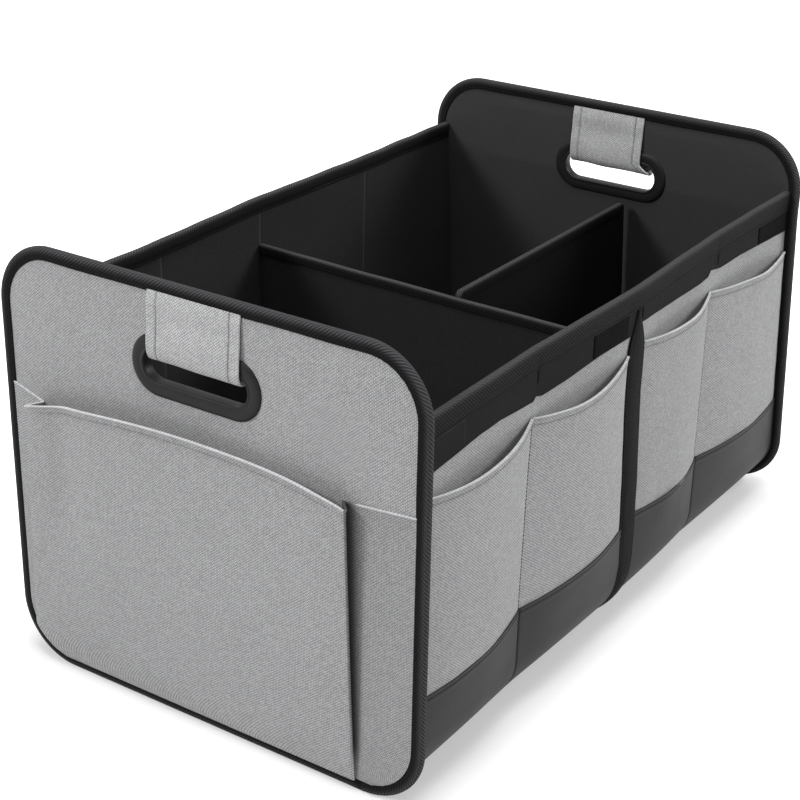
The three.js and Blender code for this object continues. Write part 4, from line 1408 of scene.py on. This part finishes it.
class ORGANIZER_OT_skirts(PieceOperator):
    """Turn the dark skirts and the bottom cloth round the lower corners"""

    bl_idname = "organizer.skirts"
    bl_label = "Skirts and bottom"

    def execute(self, context):
        for side in SIDES:
            for part, start, stop in WALL_HALVES:
                xs = dense_at(start, stop, 0.0032, CREASES[1:4:2], 3 * MM)
                x, k = np.meshgrid(xs, 1 - rows_to_mouth(0.12, 44, 30)[::-1], indexing="ij")
                top = skirt_top(x) - CORNER_Z
                h = top + (-CORNER_R * 1.4 - top) * k
                out = skirt_out(x, h, side) + 0.9 * MM
                below_top = top - h
                hem = 0.35 * MM * smooth(7 * MM, 6 * MM, below_top)
                groove = -0.35 * MM * bell(below_top - SKIRT_SEAM, 0.9 * MM)
                seam = np.min(np.abs(x[..., None] - CREASES[1:4:2]), axis=-1)
                tuck = -1.0 * MM * bell(seam, 0.9 * MM)
                front = out + 0.7 * MM + hem + groove + tuck
                # Painted shade along the stitch groove under the skirt's top and along the crease seams.
                sewn = bell(below_top - SKIRT_SEAM, 0.7 * MM)
                shown = -np.clip(0.4 * sewn + 0.9 * bell(seam, 0.8 * MM), 0, 1)
                flat = np.stack([x, h], -1)
                solid = wall_solid(side, lean(x, h + CORNER_Z), front, out, h, flat)
                skirt = make_piece(
                    f"{side}_dark_skirt_{part}",
                    with_painted_light_and_shade(solid, shown),
                    "Coated skirt cloth",
                    [f"{side}_skirt_{part}"],
                )
        xs = fine_columns(-WALL_END, WALL_END, 0.012)
        sides, path, run = round_the_body([[0.4 * MM], np.linspace(0, -CORNER_ARC, 13)])
        front, back = (
            np.stack([wall_point(side, xs, out, h) for side, h in zip(sides, path)], 1)
            for out in (0.0, -0.7 * MM)
        )
        solid = grid_solid(front, back, flat_grid(xs[:, None], run[None, :]))
        pan = make_piece("bottom_pan", solid, "Coated skirt cloth", ["bottom_cloth"])
        return {"FINISHED"}


def wall_tape_loop():
    """Closed outline of the tape over a wall's top edge: out, and z down from the top."""
    outer, inner = 1.9 * MM, LINING_OUT - 1.7 * MM
    mid = (outer + inner) / 2
    skin = [
        (outer - 0.75 * MM, -16.5 * MM), (outer - 0.1 * MM, -16.3 * MM), (outer, -15.6 * MM),
        (outer - 0.05 * MM, -14.6 * MM), (outer - 0.3 * MM, -14.0 * MM), (outer - 0.02 * MM, -13.4 * MM),
        (outer + 0.1 * MM, -10 * MM), (outer + 0.1 * MM, -3.0 * MM), (outer - 0.35 * MM, -1.3 * MM),
        (outer - 1.4 * MM, -0.35 * MM), (mid, 0.0),
    ]
    far = [
        (inner + 1.4 * MM, -0.35 * MM), (inner + 0.35 * MM, -1.3 * MM), (inner - 0.1 * MM, -3.0 * MM),
        (inner - 0.1 * MM, -7.0 * MM), (inner, -9.6 * MM), (inner + 0.28 * MM, -10.2 * MM),
        (inner + 0.02 * MM, -10.8 * MM), (inner, -12.0 * MM), (inner + 0.1 * MM, -12.4 * MM),
        (inner + 0.7 * MM, -12.5 * MM),
    ]
    back = [
        (inner + 0.75 * MM, -2.6 * MM), (inner + 1.6 * MM, -1.15 * MM), (outer - 1.6 * MM, -1.15 * MM),
        (outer - 0.8 * MM, -2.6 * MM),
    ]
    return np.array(skin + far + back)


class ORGANIZER_OT_wall_tapes(PieceOperator):
    """Fold the ribbed tape over the long walls and lay the tape over their middle crease"""

    bl_idname = "organizer.wall_tapes"
    bl_label = "Wall tapes"

    def execute(self, context):
        section = wall_tape_loop()
        lengths = run_along(section)
        for side in SIDES:
            xs = dense_at(-WALL_END, WALL_END, 0.0035, BAND_SLITS, 1.6 * MM)
            seed = 71 if side == "right" else 73
            rise = 0.35 * MM * ripple(xs, xs * 0, 0.06, seed)[:, None]
            x = xs[:, None]
            out = np.broadcast_to(section[None, :, 0], (len(xs), len(section)))
            h = WALL_TOP - CORNER_Z + section[None, :, 1] + rise
            rings = wall_point(side, x, out, h)
            flat = flat_grid(x, lengths[None, :])
            # Painted highlight along the rim's crest, and painted shade where the band's slits meet the
            # tape's foot.
            crest = np.interp(section[:, 1], np.array([-10, -3, -1.3, -0.3]) * MM, [0, 0.1, 0.45, 1])
            slit = bell(np.min(np.abs(x - np.array(BAND_SLITS)), axis=1), 1.5 * MM)
            foot = smooth(-9 * MM, -12 * MM, section[:, 1]) * (section[:, 0] > 0)
            shown = crest[None, :] - slit[:, None] * foot[None, :]
            solid = strip_solid(rings, flat)
            tape_piece(f"{side}_rim_tape", (*solid, shown.ravel()), f"{side}_top_binding")
            across = np.linspace(-TAPE_HALF, TAPE_HALF, 17)
            top = WALL_TOP - TAPE_DROP + 0.5 * MM - CORNER_Z
            heights = np.concatenate([np.linspace(top, 0, 60), np.linspace(0, -CORNER_R * 1.35, 30)[1:]])
            x, h = np.meshgrid(CENTRE_X + across, heights, indexing="ij")
            edge = np.abs(x - CENTRE_X) / TAPE_HALF
            width = tape_half(h + CORNER_Z) / TAPE_HALF
            x = CENTRE_X + (x - CENTRE_X) * width
            crown = 1.7 * MM * np.sqrt(np.clip(1 - edge**2 * 0.92, 0, 1)) * (0.3 + 0.7 * width)
            groove = -0.35 * MM * bell(edge - TAPE_SEAM, 0.06)
            soft = 0.2 * MM * ripple(x, h, 0.03, seed + 1)
            out = 0.35 * MM + crown + soft + 0.9 * MM
            front = out + groove + 0.2 * MM
            solid = wall_solid(side, lean(x, h + CORNER_Z), front, 0.2 * MM, h, np.stack([h, x], -1))
            tape_piece(f"{side}_crease_tape", solid, f"{side}_centre_tape")
        return {"FINISHED"}


class ORGANIZER_OT_lining(PieceOperator):
    """Hang the black lining down both walls and over the bottom"""

    bl_idname = "organizer.lining"
    bl_label = "Body lining"

    def execute(self, context):
        lines = {"right": CREASES[1:4], "left": np.array([-0.130, -0.004, 0.139])}
        xs = dense_at(-WALL_END, WALL_END, 0.006, np.concatenate(list(lines.values())), 3 * MM)
        top = WALL_TOP - 1.2 * MM - CORNER_Z
        sides, path, run = round_the_body([np.linspace(top, 0, 46), np.linspace(0, -CORNER_ARC, 14)[1:]])
        grids = []
        near = {side: np.min(np.abs(xs[:, None] - lines[side][None, :]), axis=1) for side in SIDES}
        # Painted highlight along the lining's creases.
        shown = np.stack([0.95 * bell(near[s], 0.8 * MM) * (h > 0) for s, h in zip(sides, path)], 1)
        for thick in (0.0, -0.7 * MM):
            columns = []
            for k, (side, h) in enumerate(zip(sides, path)):
                soft = 0.45 * MM * ripple(xs, np.full(len(xs), run[k]), 0.08, 81)
                fold = 0.5 * MM * bell(near[side], 3 * MM) if h > 0 else 0.0
                fade = 1.0 if h > 0 else 0.3
                out = LINING_OUT + thick - (soft * fade + 0.45 * MM * fade) + fold
                columns.append(wall_point(side, xs, out, h, below=thick - 0.9 * MM))
            grids.append(np.stack(columns, 1))
        flat = flat_grid(xs[:, None], run[None, :])
        lining = make_piece(
            "body_lining_cloth",
            with_painted_light_and_shade(grid_solid(grids[0], grids[1], flat), shown),
            "Black lining cloth",
            ["body_lining"],
        )
        return {"FINISHED"}


def channel_loop(thick, drop):
    """Closed outline of tape over a divider's edge: across, and along outwards."""
    half = thick / 2 + 0.9 * MM
    skin = [
        (-half + 0.65 * MM, -drop), (-half + 0.05 * MM, -drop + 0.2 * MM), (-half, -drop + 0.9 * MM),
        (-half - 0.05 * MM, -drop / 2), (-half, -1.6 * MM), (-half + 0.5 * MM, -0.6 * MM),
        (-half + 1.3 * MM, -0.1 * MM), (0.0, 0.0),
    ]
    far = [(-a, b) for a, b in reversed(skin[:-1])]
    under = [(-half + 1.4 * MM, -0.8 * MM), (-half + 0.7 * MM, -1.6 * MM)]
    return np.array(skin + far + [(-a, b) for a, b in reversed(under)] + under)


def cross_divider_half(z):
    """Half width of the cross divider at a height, following the rounded lining."""
    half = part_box("cross_divider")[1][1]
    corner = half - CORNER_Y
    drop = CORNER_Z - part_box("cross_divider")[0][2]
    below = np.clip((CORNER_Z - z) / drop, 0, 1)
    return CORNER_Y + corner * np.sqrt(1 - below**2) * 0.999


def cross_shift(y):
    """How far the cross divider stands off its seat along the body, and how far its top dips."""
    share = np.clip((y + WALL_Y) / (2 * WALL_Y), 0, 1)
    return -CROSS_SKEW * share, CROSS_DROP * (1 - share**1.6)


def rear_divider_box(node):
    low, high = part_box(node)
    return (low[0] - REAR_DIVIDER_BACK, *low[1:]), (high[0] - REAR_DIVIDER_SHORT, *high[1:])


def arch_path(low, high):
    """Up the rear end of the rear divider, over its top and down again, with outward normals."""
    path, normals = [], []
    top = high[2] - DIVIDER_BEND

    def straight(points, normal):
        path.extend(points)
        normals.extend([normal] * len(points))

    def bend(x, start):
        for a in np.linspace(start, start + 90, 12):
            c, s = math.cos(math.radians(a)), math.sin(math.radians(a))
            path.append((x + DIVIDER_BEND * c, top + DIVIDER_BEND * s))
            normals.append((c, s))

    first, last = low[0] + DIVIDER_BEND, high[0] - DIVIDER_BEND
    straight([(high[0], z) for z in np.linspace(low[2], top, 40)[:-1]], (1, 0))
    bend(last, 0)
    straight([(x, high[2]) for x in np.linspace(last, first, 60)[1:-1]], (0, 1))
    bend(first, 90)
    straight([(low[0], z) for z in np.linspace(top, low[2], 40)[1:]], (-1, 0))
    return np.array(path), np.array(normals)


class ORGANIZER_OT_dividers(PieceOperator):
    """Pad the two dividers and tape their edges"""

    bl_idname = "organizer.dividers"
    bl_label = "Dividers"

    def execute(self, context):
        low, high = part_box("cross_divider")
        thick = high[0] - low[0]
        k = np.concatenate([np.linspace(0, 0.18, 14), np.linspace(0.18, 1, 50)[1:]])
        heights = low[2] + (high[2] - low[2]) * k
        s, z = np.meshgrid(np.linspace(-1, 1, 90), heights, indexing="ij")
        y = s * cross_divider_half(z)
        puff = 0.7 * MM * (1 + ripple(y, z, 0.08, 91)) * smooth(1.0, 0.96, np.abs(s))
        edge = 0.9 * MM * smooth(0.985, 1.0, np.abs(s))
        shift, drop = cross_shift(y)
        shown = z - low[2]
        z = z - drop * shown / (high[2] - low[2])
        front = np.stack([CENTRE_X + shift - thick / 2 - puff / 2 + edge, y, z], -1)
        back = np.stack([CENTRE_X + shift + thick / 2 + puff / 2 - edge, y, z], -1)
        make_piece(
            "cross_divider_cloth",
            grid_solid(front, back, np.stack([y, z], -1)),
            "Cross divider cloth",
            ["cross_divider"],
            50,
        )
        section = channel_loop(thick + 0.6 * MM, 8 * MM)
        lengths = run_along(section)
        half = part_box("cross_divider_binding")[1][1]
        ys = np.linspace(-half, half, 120)
        shift, drop = cross_shift(ys)
        sag = 0.2 * MM * ripple(ys, ys * 0, 0.06, 93) - drop
        across = (CENTRE_X + shift)[:, None] + section[None, :, 0]
        height = DIVIDER_TOP + section[None, :, 1] + sag[:, None]
        rings = np.stack(np.broadcast_arrays(across, ys[:, None], height), -1)
        # Painted highlight along the tape's crest.
        crest = np.interp(section[:, 1], np.array([-3, -1.6, -0.6, -0.1]) * MM, [0, 0.06, 0.5, 1])
        solid = strip_solid(rings, flat_grid(ys[:, None], lengths[None, :]))
        tape_piece("cross_divider_tape", (*solid, np.tile(crest, len(ys))), "cross_divider_binding")
        # The rear divider stands against the cross divider and stops a little short of the end.
        low, high = rear_divider_box("rear_divider")
        thick = high[1] - low[1]
        xs = np.linspace(low[0], high[0], 90)
        x, z = np.meshgrid(xs, np.linspace(low[2], high[2] - 0.2 * MM, 70), indexing="ij")
        inset = np.minimum(x - low[0], high[0] - x)
        corner = DIVIDER_BEND - 0.9 * MM
        fall = corner - np.sqrt(np.clip(corner**2 - (corner - inset) ** 2, 0, None))
        drop = np.where(inset < corner, fall, 0)
        z = low[2] + (z - low[2]) * (high[2] - drop - low[2]) / (high[2] - low[2])
        puff = 0.6 * MM * (1 + ripple(x, z, 0.08, 95)) * smooth(0, 8 * MM, inset)
        front = np.stack([x, REAR_DIVIDER_Y - thick / 2 - puff / 2, z], -1)
        back = np.stack([x, REAR_DIVIDER_Y + thick / 2 + puff / 2, z], -1)
        make_piece(
            "rear_divider_cloth",
            grid_solid(front, back, np.stack([x, z], -1)),
            "Divider cloth",
            ["rear_divider"],
            50,
        )
        path, normals = arch_path(*rear_divider_box("rear_divider_binding"))
        along = path[:, None, 0] + normals[:, None, 0] * section[None, :, 1]
        height = path[:, None, 1] + normals[:, None, 1] * section[None, :, 1]
        rings = np.stack(np.broadcast_arrays(along, REAR_DIVIDER_Y + section[None, :, 0], height), -1)
        solid = strip_solid(rings, flat_grid(run_along(path)[:, None], lengths[None, :]))
        # The same painted highlight, a little weaker.
        tape_piece("rear_divider_tape", (*solid, np.tile(crest * 0.8, len(path))), "rear_divider_binding")
        return {"FINISHED"}


class ORGANIZER_OT_base_boards(PieceOperator):
    """Lay the two loose base boards, with rounded corners and eased edges"""

    bl_idname = "organizer.base_boards"
    bl_label = "Base boards"

    def execute(self, context):
        for bay in ("front", "rear"):
            low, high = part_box(f"{bay}_base_board")
            cx, cy = (low[0] + high[0]) / 2, (low[1] + high[1]) / 2
            half_x, half_y = (high[0] - low[0]) / 2, (high[1] - low[1]) / 2
            outline, normals, _ = rounded_outline(half_x, -half_y, half_y, 10 * MM, 8, 0.02)
            rings = []
            profile = [(-0.9, 0.0), (-0.25, 0.25), (0.0, 0.9), (0.0, 2.1), (-0.25, 2.75), (-0.9, 3.0)]
            for inset, up in [(None, 0.0)] + profile + [(None, 3.0)]:
                z = low[2] + up * MM
                ring = outline * 0.5 if inset is None else outline + normals * inset * MM
                rings.append(np.column_stack([ring[:, 0] + cx, ring[:, 1] + cy, np.full(len(ring), z)]))
            rings = np.array(rings).transpose(1, 0, 2)
            solid = strip_between(rings, rings[..., :2].copy())
            node = f"{bay}_base_board"
            make_piece(f"{bay}_bottom_board", solid, "Base board skin", [node])
        return {"FINISHED"}


def strip_between(rings, flat):
    """A closed loop of open sections, shut by one face at each end of the section."""
    n, m = rings.shape[:2]
    i, j = np.meshgrid(np.arange(n), np.arange(m - 1), indexing="ij")
    nxt = (i + 1) % n
    faces = np.stack([i * m + j, nxt * m + j, nxt * m + j + 1, i * m + j + 1], -1).reshape(-1, 4)
    first = [k * m for k in range(n)][::-1]
    last = [k * m + m - 1 for k in range(n)]
    return rings.reshape(-1, 3), [list(f) for f in faces] + [first, last], flat.reshape(-1, 2)


# Stitches


def stitch_tree():
    """Geometry Nodes: short rounded stitches set evenly along every line of a wire."""
    tree = bpy.data.node_groups.new("Stitches along lines", "GeometryNodeTree")
    for label, kind, value in (
        ("Geometry", "NodeSocketGeometry", None),
        ("Pitch", "NodeSocketFloat", 0.003),
        ("Length", "NodeSocketFloat", 0.0022),
        ("Thread", "NodeSocketFloat", 0.0005),
        ("Material", "NodeSocketMaterial", None),
    ):
        socket = tree.interface.new_socket(label, in_out="INPUT", socket_type=kind)
        if value is not None:
            socket.default_value = value
    tree.interface.new_socket("Geometry", in_out="OUTPUT", socket_type="NodeSocketGeometry")
    n = Nodes(tree)
    source, sink = n.add("NodeGroupInput"), n.add("NodeGroupOutput")
    curve = n.add("GeometryNodeMeshToCurve")
    n.link(source.outputs["Geometry"], curve.inputs["Mesh"])
    points = n.add("GeometryNodeCurveToPoints", mode="LENGTH")
    n.link(curve.outputs["Curve"], points.inputs["Curve"])
    n.link(source.outputs["Pitch"], points.inputs["Length"])
    bead = n.add("GeometryNodeMeshUVSphere")
    bead.inputs["Segments"].default_value = 6
    bead.inputs["Rings"].default_value = 4
    bead.inputs["Radius"].default_value = 0.5
    shape = n.add("ShaderNodeCombineXYZ")
    n.link(source.outputs["Length"], shape.inputs["X"])
    n.link(source.outputs["Thread"], shape.inputs["Y"])
    n.link(source.outputs["Thread"], shape.inputs["Z"])
    align = n.add("FunctionNodeAlignRotationToVector", axis="X")
    n.link(points.outputs["Tangent"], align.inputs["Vector"])
    scatter = n.add("GeometryNodeInstanceOnPoints")
    n.link(points.outputs["Points"], scatter.inputs["Points"])
    n.link(bead.outputs["Mesh"], scatter.inputs["Instance"])
    n.link(align.outputs["Rotation"], scatter.inputs["Rotation"])
    n.link(shape.outputs[0], scatter.inputs["Scale"])
    real = n.add("GeometryNodeRealizeInstances")
    n.link(scatter.outputs["Instances"], real.inputs["Geometry"])
    dress = n.add("GeometryNodeSetMaterial")
    n.link(real.outputs["Geometry"], dress.inputs["Geometry"])
    n.link(source.outputs["Material"], dress.inputs["Material"])
    n.link(dress.outputs["Geometry"], sink.inputs["Geometry"])
    return tree


def sew(name, lines, material, tree, length=0.72, thread=1.0):
    """A piece of stitches along lines of points."""
    points, edges = [], []
    for line in lines:
        start = len(points)
        points += [tuple(p) for p in settle(line)]
        edges += [(start + k, start + k + 1) for k in range(len(line) - 1)]
    mesh = bpy.data.meshes.new(name + "_lines")
    mesh.from_pydata(points, edges, [])
    wire = bpy.data.objects.new(name + "_lines", mesh)
    bpy.context.scene.collection.objects.link(wire)
    modifier = wire.modifiers.new("Stitches", "NODES")
    modifier.node_group = tree
    pitch = sizes().stitch_pitch
    values = {
        "Pitch": pitch,
        "Length": pitch * length,
        "Thread": sizes().thread * thread,
        "Material": finish(material),
    }
    for item in tree.interface.items_tree:
        if item.item_type == "SOCKET" and item.in_out == "INPUT" and item.name in values:
            modifier[item.identifier] = values[item.name]
    evaluated = wire.evaluated_get(bpy.context.evaluated_depsgraph_get())
    made = bpy.data.meshes.new_from_object(evaluated)
    made.name = name
    bpy.data.objects.remove(wire)
    bpy.data.meshes.remove(mesh)
    made.shade_smooth()
    piece = bpy.data.objects.new(name, made)
    bpy.context.scene.collection.objects.link(piece)
    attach(piece, "root")
    return piece


class ORGANIZER_OT_stitches(PieceOperator):
    """Sew the hems, tapes, straps and creases"""

    bl_idname = "organizer.stitches"
    bl_label = "Stitches"

    def execute(self, context):
        tree = stitch_tree()
        grey, black = [], []
        hem = sizes().hem_width - HEM_SEAM
        for end in ENDS:
            outer = end_pocket_faces(END_POCKET_SEED[end])[0]
            column = np.argmin(np.abs((outer[:, -1:, 2] - outer[:, :, 2]) - hem), axis=1)
            rows = np.arange(outer.shape[0])
            seam = outer[rows, column] - np.array([0.1 * MM, 0, 0])
            grey.append(end_point(end, seam[28:141, 0], seam[28:141, 1], seam[28:141, 2]))
            line, normal, _ = strap_line()
            for right in (SLOT_RIGHT - STRAP_HALF + STRAP_SEAM, SLOT_RIGHT + STRAP_HALF - STRAP_SEAM):
                for way in (1, -1):
                    rows = slice(2, 78) if way == 1 else slice(72, 148)
                    shift = strap_thickness(np.array(right)) / 2 + 0.05 * MM
                    depth = line[rows, 0] + normal[rows, 0] * shift
                    z = line[rows, 1] + normal[rows, 1] * shift
                    across = drawn_in(right, np.arange(150)[rows] / 149)
                    grey.append(end_point(end, depth, across, z))
            outline, normals, _ = rounded_outline(END_HALF, 0.0, END_TOP, END_RADIUS, 22, 0.01)
            for depth in (0.06 * MM, END_THICK - 0.06 * MM):
                ring = outline - normals * RIM_SEAM
                ring = np.concatenate([ring, ring[:1]])
                black.append(end_point(end, depth, ring[:, 0], ring[:, 1]))
        for side in SIDES:
            for index, (start, stop) in enumerate(quarter_spans(), 1):
                t = np.linspace(0.015, 0.985, 70)
                x = start + (stop - start) * t
                top, low = mouth_z(index, t), skirt_top(x) - SKIRT_LAP
                z = top - hem
                out = pocket_out(index, side, t, (z - low) / (top - low)) + 1.05 * MM
                grey.append(wall_point(side, lean(x, z), out, z - CORNER_Z))
                h = skirt_top(x) - CORNER_Z - SKIRT_SEAM
                black.append(wall_point(side, lean(x, h + CORNER_Z), skirt_out(x, h, side) + 1.7 * MM, h))
            for crease, mouth, thread in ((CREASES[1], 50, black), (CREASES[3], 46, grey)):
                low, high = skirt_top(np.array([crease]))[0], WALL_TOP - mouth * MM
                z = np.linspace(low, high, 40)
                thread.append(wall_point(side, lean(crease, z), 1.15 * MM, z - CORNER_Z))
                h = np.linspace(low - CORNER_Z, -CORNER_R * 1.3, 40)
                black.append(wall_point(side, lean(crease, h + CORNER_Z), 1.25 * MM, h))
            x = np.linspace(-WALL_END + 2 * MM, WALL_END - 2 * MM, 160)
            top = WALL_TOP - CORNER_Z
            black.append(wall_point(side, x, 1.7 * MM, top - 14.0 * MM))
            black.append(wall_point(side, x, LINING_OUT - 1.5 * MM, top - 10.2 * MM))
            h = np.linspace(WALL_TOP - TAPE_DROP - CORNER_Z - 38 * MM, -CORNER_R * 1.3, 90)
            out = (0.35 + 1.7 * math.sqrt(1 - TAPE_SEAM**2 * 0.92) + 0.85) * MM
            for shift in (-TAPE_SEAM * TAPE_HALF, TAPE_SEAM * TAPE_HALF):
                black.append(wall_point(side, lean(CENTRE_X + shift, h + CORNER_Z), out, h))
        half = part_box("cross_divider_binding")[1][1]
        y = np.linspace(-half + 3 * MM, half - 3 * MM, 60)
        shift, drop = cross_shift(y)
        for way in (-1, 1):
            x = CENTRE_X + shift + way * 3.1 * MM
            black.append(np.column_stack([x, y, DIVIDER_TOP - drop - 6 * MM]))
        sew("grey_stitches", grey, "Grey thread", tree, 0.66, 1.5)
        sew("black_stitches", black, "Black thread", tree, 0.7, 1.1)
        return {"FINISHED"}


# Stage

CAMERA_AT = (-1.10253, -0.70146, 0.75438)
CAMERA_TURN = (65.1904, -1.0344, -55.9366)
CAMERA_LENS = 81.1155
# Name, place, target, size and power of each lamp.
LAMPS = (
    ("key_light", (-4.3, 2.9, 3.6), (-0.1, 0, 0.15), (1.5, 1.5), 212),
    ("side_light", (2.0, -2.3, 1.9), (0.05, -0.17, 0.15), (1.3, 1.2), 67),
    ("top_light", (-0.8, -0.5, 5.0), (0, 0, 0.1), (2.4, 2.4), 190),
)
WORLD_FILL = 0.32
FLOOR_HALF = 6.0
# The part of the floor under the object, where its glow is least, and how soon it is full beyond.
SHADE_HALF = (0.27, 0.16, 0)
SHADE_GLOW = 0.30
SHADE_FADE = 0.11


def soft_light(name, at, target, size, power):
    light = bpy.data.lights.new(name, "AREA")
    light.shape = "RECTANGLE"
    light.size, light.size_y = size
    light.energy = power
    lamp = bpy.data.objects.new(name, light)
    lamp.location = at
    lamp.rotation_euler = (Vector(target) - Vector(at)).to_track_quat("-Z", "Y").to_euler()
    bpy.context.scene.collection.objects.link(lamp)


def seen_white(n):
    """1 where the camera, a reflection or a clear piece sees the surface directly."""
    path = n.add("ShaderNodeLightPath")
    seen = n.math("MAXIMUM", path.outputs["Is Camera Ray"], path.outputs["Is Glossy Ray"])
    return n.math("MAXIMUM", seen, path.outputs["Is Transmission Ray"])


class ORGANIZER_OT_stage(PieceOperator):
    """Set the pale floor, the soft lights and the camera"""

    bl_idname = "organizer.stage"
    bl_label = "Stage"

    def execute(self, context):
        scene = context.scene
        mesh = bpy.data.meshes.new("studio_floor")
        corners = ((-1, -1), (1, -1), (1, 1), (-1, 1))
        mesh.from_pydata([(x * FLOOR_HALF, y * FLOOR_HALF, 0) for x, y in corners], [], [(0, 1, 2, 3)])
        floor = bpy.data.objects.new("studio_floor", mesh)
        scene.collection.objects.link(floor)
        material = bpy.data.materials.new("Studio floor")
        material.use_nodes = True
        n = Nodes(material.node_tree)
        shader = material.node_tree.nodes["Principled BSDF"]
        shader.inputs["Base Color"].default_value = (*colours().floor, 1)
        shader.inputs["Roughness"].default_value = 0.9
        shader.inputs["Specular IOR Level"].default_value = 0.0
        # The camera sees the floor lift to plain white away from the object and its shadow.
        at = n.add("ShaderNodeTexCoord")
        clear = at.outputs["Object"]
        for operation, value in (("ABSOLUTE", None), ("SUBTRACT", SHADE_HALF), ("MAXIMUM", (0, 0, 0))):
            step = n.add("ShaderNodeVectorMath", operation)
            n.link(clear, step.inputs[0])
            if value is not None:
                step.inputs[1].default_value = value
            clear = step.outputs[0]
        length = n.add("ShaderNodeVectorMath", "LENGTH")
        n.link(clear, length.inputs[0])
        away = n.add("ShaderNodeMapRange", interpolation_type="SMOOTHSTEP")
        away.inputs["From Min"].default_value = 0.0
        away.inputs["From Max"].default_value = SHADE_FADE
        away.inputs["To Min"].default_value = SHADE_GLOW
        away.inputs["To Max"].default_value = 1.0
        n.link(length.outputs["Value"], away.inputs["Value"])
        glow = n.add("ShaderNodeEmission")
        glow.inputs["Color"].default_value = (1, 1, 1, 1)
        n.link(n.math("MULTIPLY", away.outputs["Result"], seen_white(n)), glow.inputs["Strength"])
        both = n.add("ShaderNodeAddShader")
        n.link(shader.outputs[0], both.inputs[0])
        n.link(glow.outputs[0], both.inputs[1])
        n.link(both.outputs[0], material.node_tree.nodes["Material Output"].inputs["Surface"])
        mesh.materials.append(material)

        world = bpy.data.worlds.new("Studio")
        scene.world = world
        world.use_nodes = True
        n = Nodes(world.node_tree)
        background = world.node_tree.nodes["Background"]
        background.inputs["Color"].default_value = (1, 1, 1, 1)
        strength = n.math("MULTIPLY_ADD", seen_white(n), 1 - WORLD_FILL, WORLD_FILL)
        n.link(strength, background.inputs["Strength"])

        for lamp in LAMPS:
            soft_light(*lamp)

        camera = bpy.data.cameras.new("photo_camera")
        camera.lens = CAMERA_LENS
        camera.sensor_width = 36.0
        camera.clip_start = 0.05
        holder = bpy.data.objects.new("photo_camera", camera)
        holder.location = CAMERA_AT
        holder.rotation_euler = Euler([math.radians(a) for a in CAMERA_TURN], "XYZ")
        scene.collection.objects.link(holder)
        scene.camera = holder
        scene.view_settings.view_transform = "Standard"
        return {"FINISHED"}


OPERATORS = (
    ORGANIZER_OT_boards,
    ORGANIZER_OT_end_cloths,
    ORGANIZER_OT_end_tapes,
    ORGANIZER_OT_rings,
    ORGANIZER_OT_straps,
    ORGANIZER_OT_end_pockets,
    ORGANIZER_OT_wall_cloths,
    ORGANIZER_OT_side_pockets,
    ORGANIZER_OT_skirts,
    ORGANIZER_OT_wall_tapes,
    ORGANIZER_OT_lining,
    ORGANIZER_OT_dividers,
    ORGANIZER_OT_base_boards,
    ORGANIZER_OT_stitches,
    ORGANIZER_OT_stage,
)


class ORGANIZER_PT_panel(bpy.types.Panel):
    """Lists the organizer's pieces in the sidebar"""

    bl_idname = "ORGANIZER_PT_panel"
    bl_label = "Trunk organizer"
    bl_space_type = "VIEW_3D"
    bl_region_type = "UI"
    bl_category = "Organizer"

    def draw(self, context):
        layout = self.layout
        for group in (context.scene.organizer_sizes, context.scene.organizer_colours):
            box = layout.box()
            for key in group.__annotations__:
                box.prop(group, key)
        for operator in OPERATORS:
            layout.operator(operator.bl_idname)


CLASSES = (OrganizerSizes, OrganizerColours, *OPERATORS, ORGANIZER_PT_panel)


def register():
    for item in CLASSES:
        bpy.utils.register_class(item)
    bpy.types.Scene.organizer_sizes = bpy.props.PointerProperty(type=OrganizerSizes)
    bpy.types.Scene.organizer_colours = bpy.props.PointerProperty(type=OrganizerColours)


def unregister():
    del bpy.types.Scene.organizer_colours
    del bpy.types.Scene.organizer_sizes
    for item in reversed(CLASSES):
        bpy.utils.unregister_class(item)


def main():
    register()
    for operator in OPERATORS:
        group, name = operator.bl_idname.split(".")
        getattr(getattr(bpy.ops, group), name)()


if __name__ == "__main__":
    main()
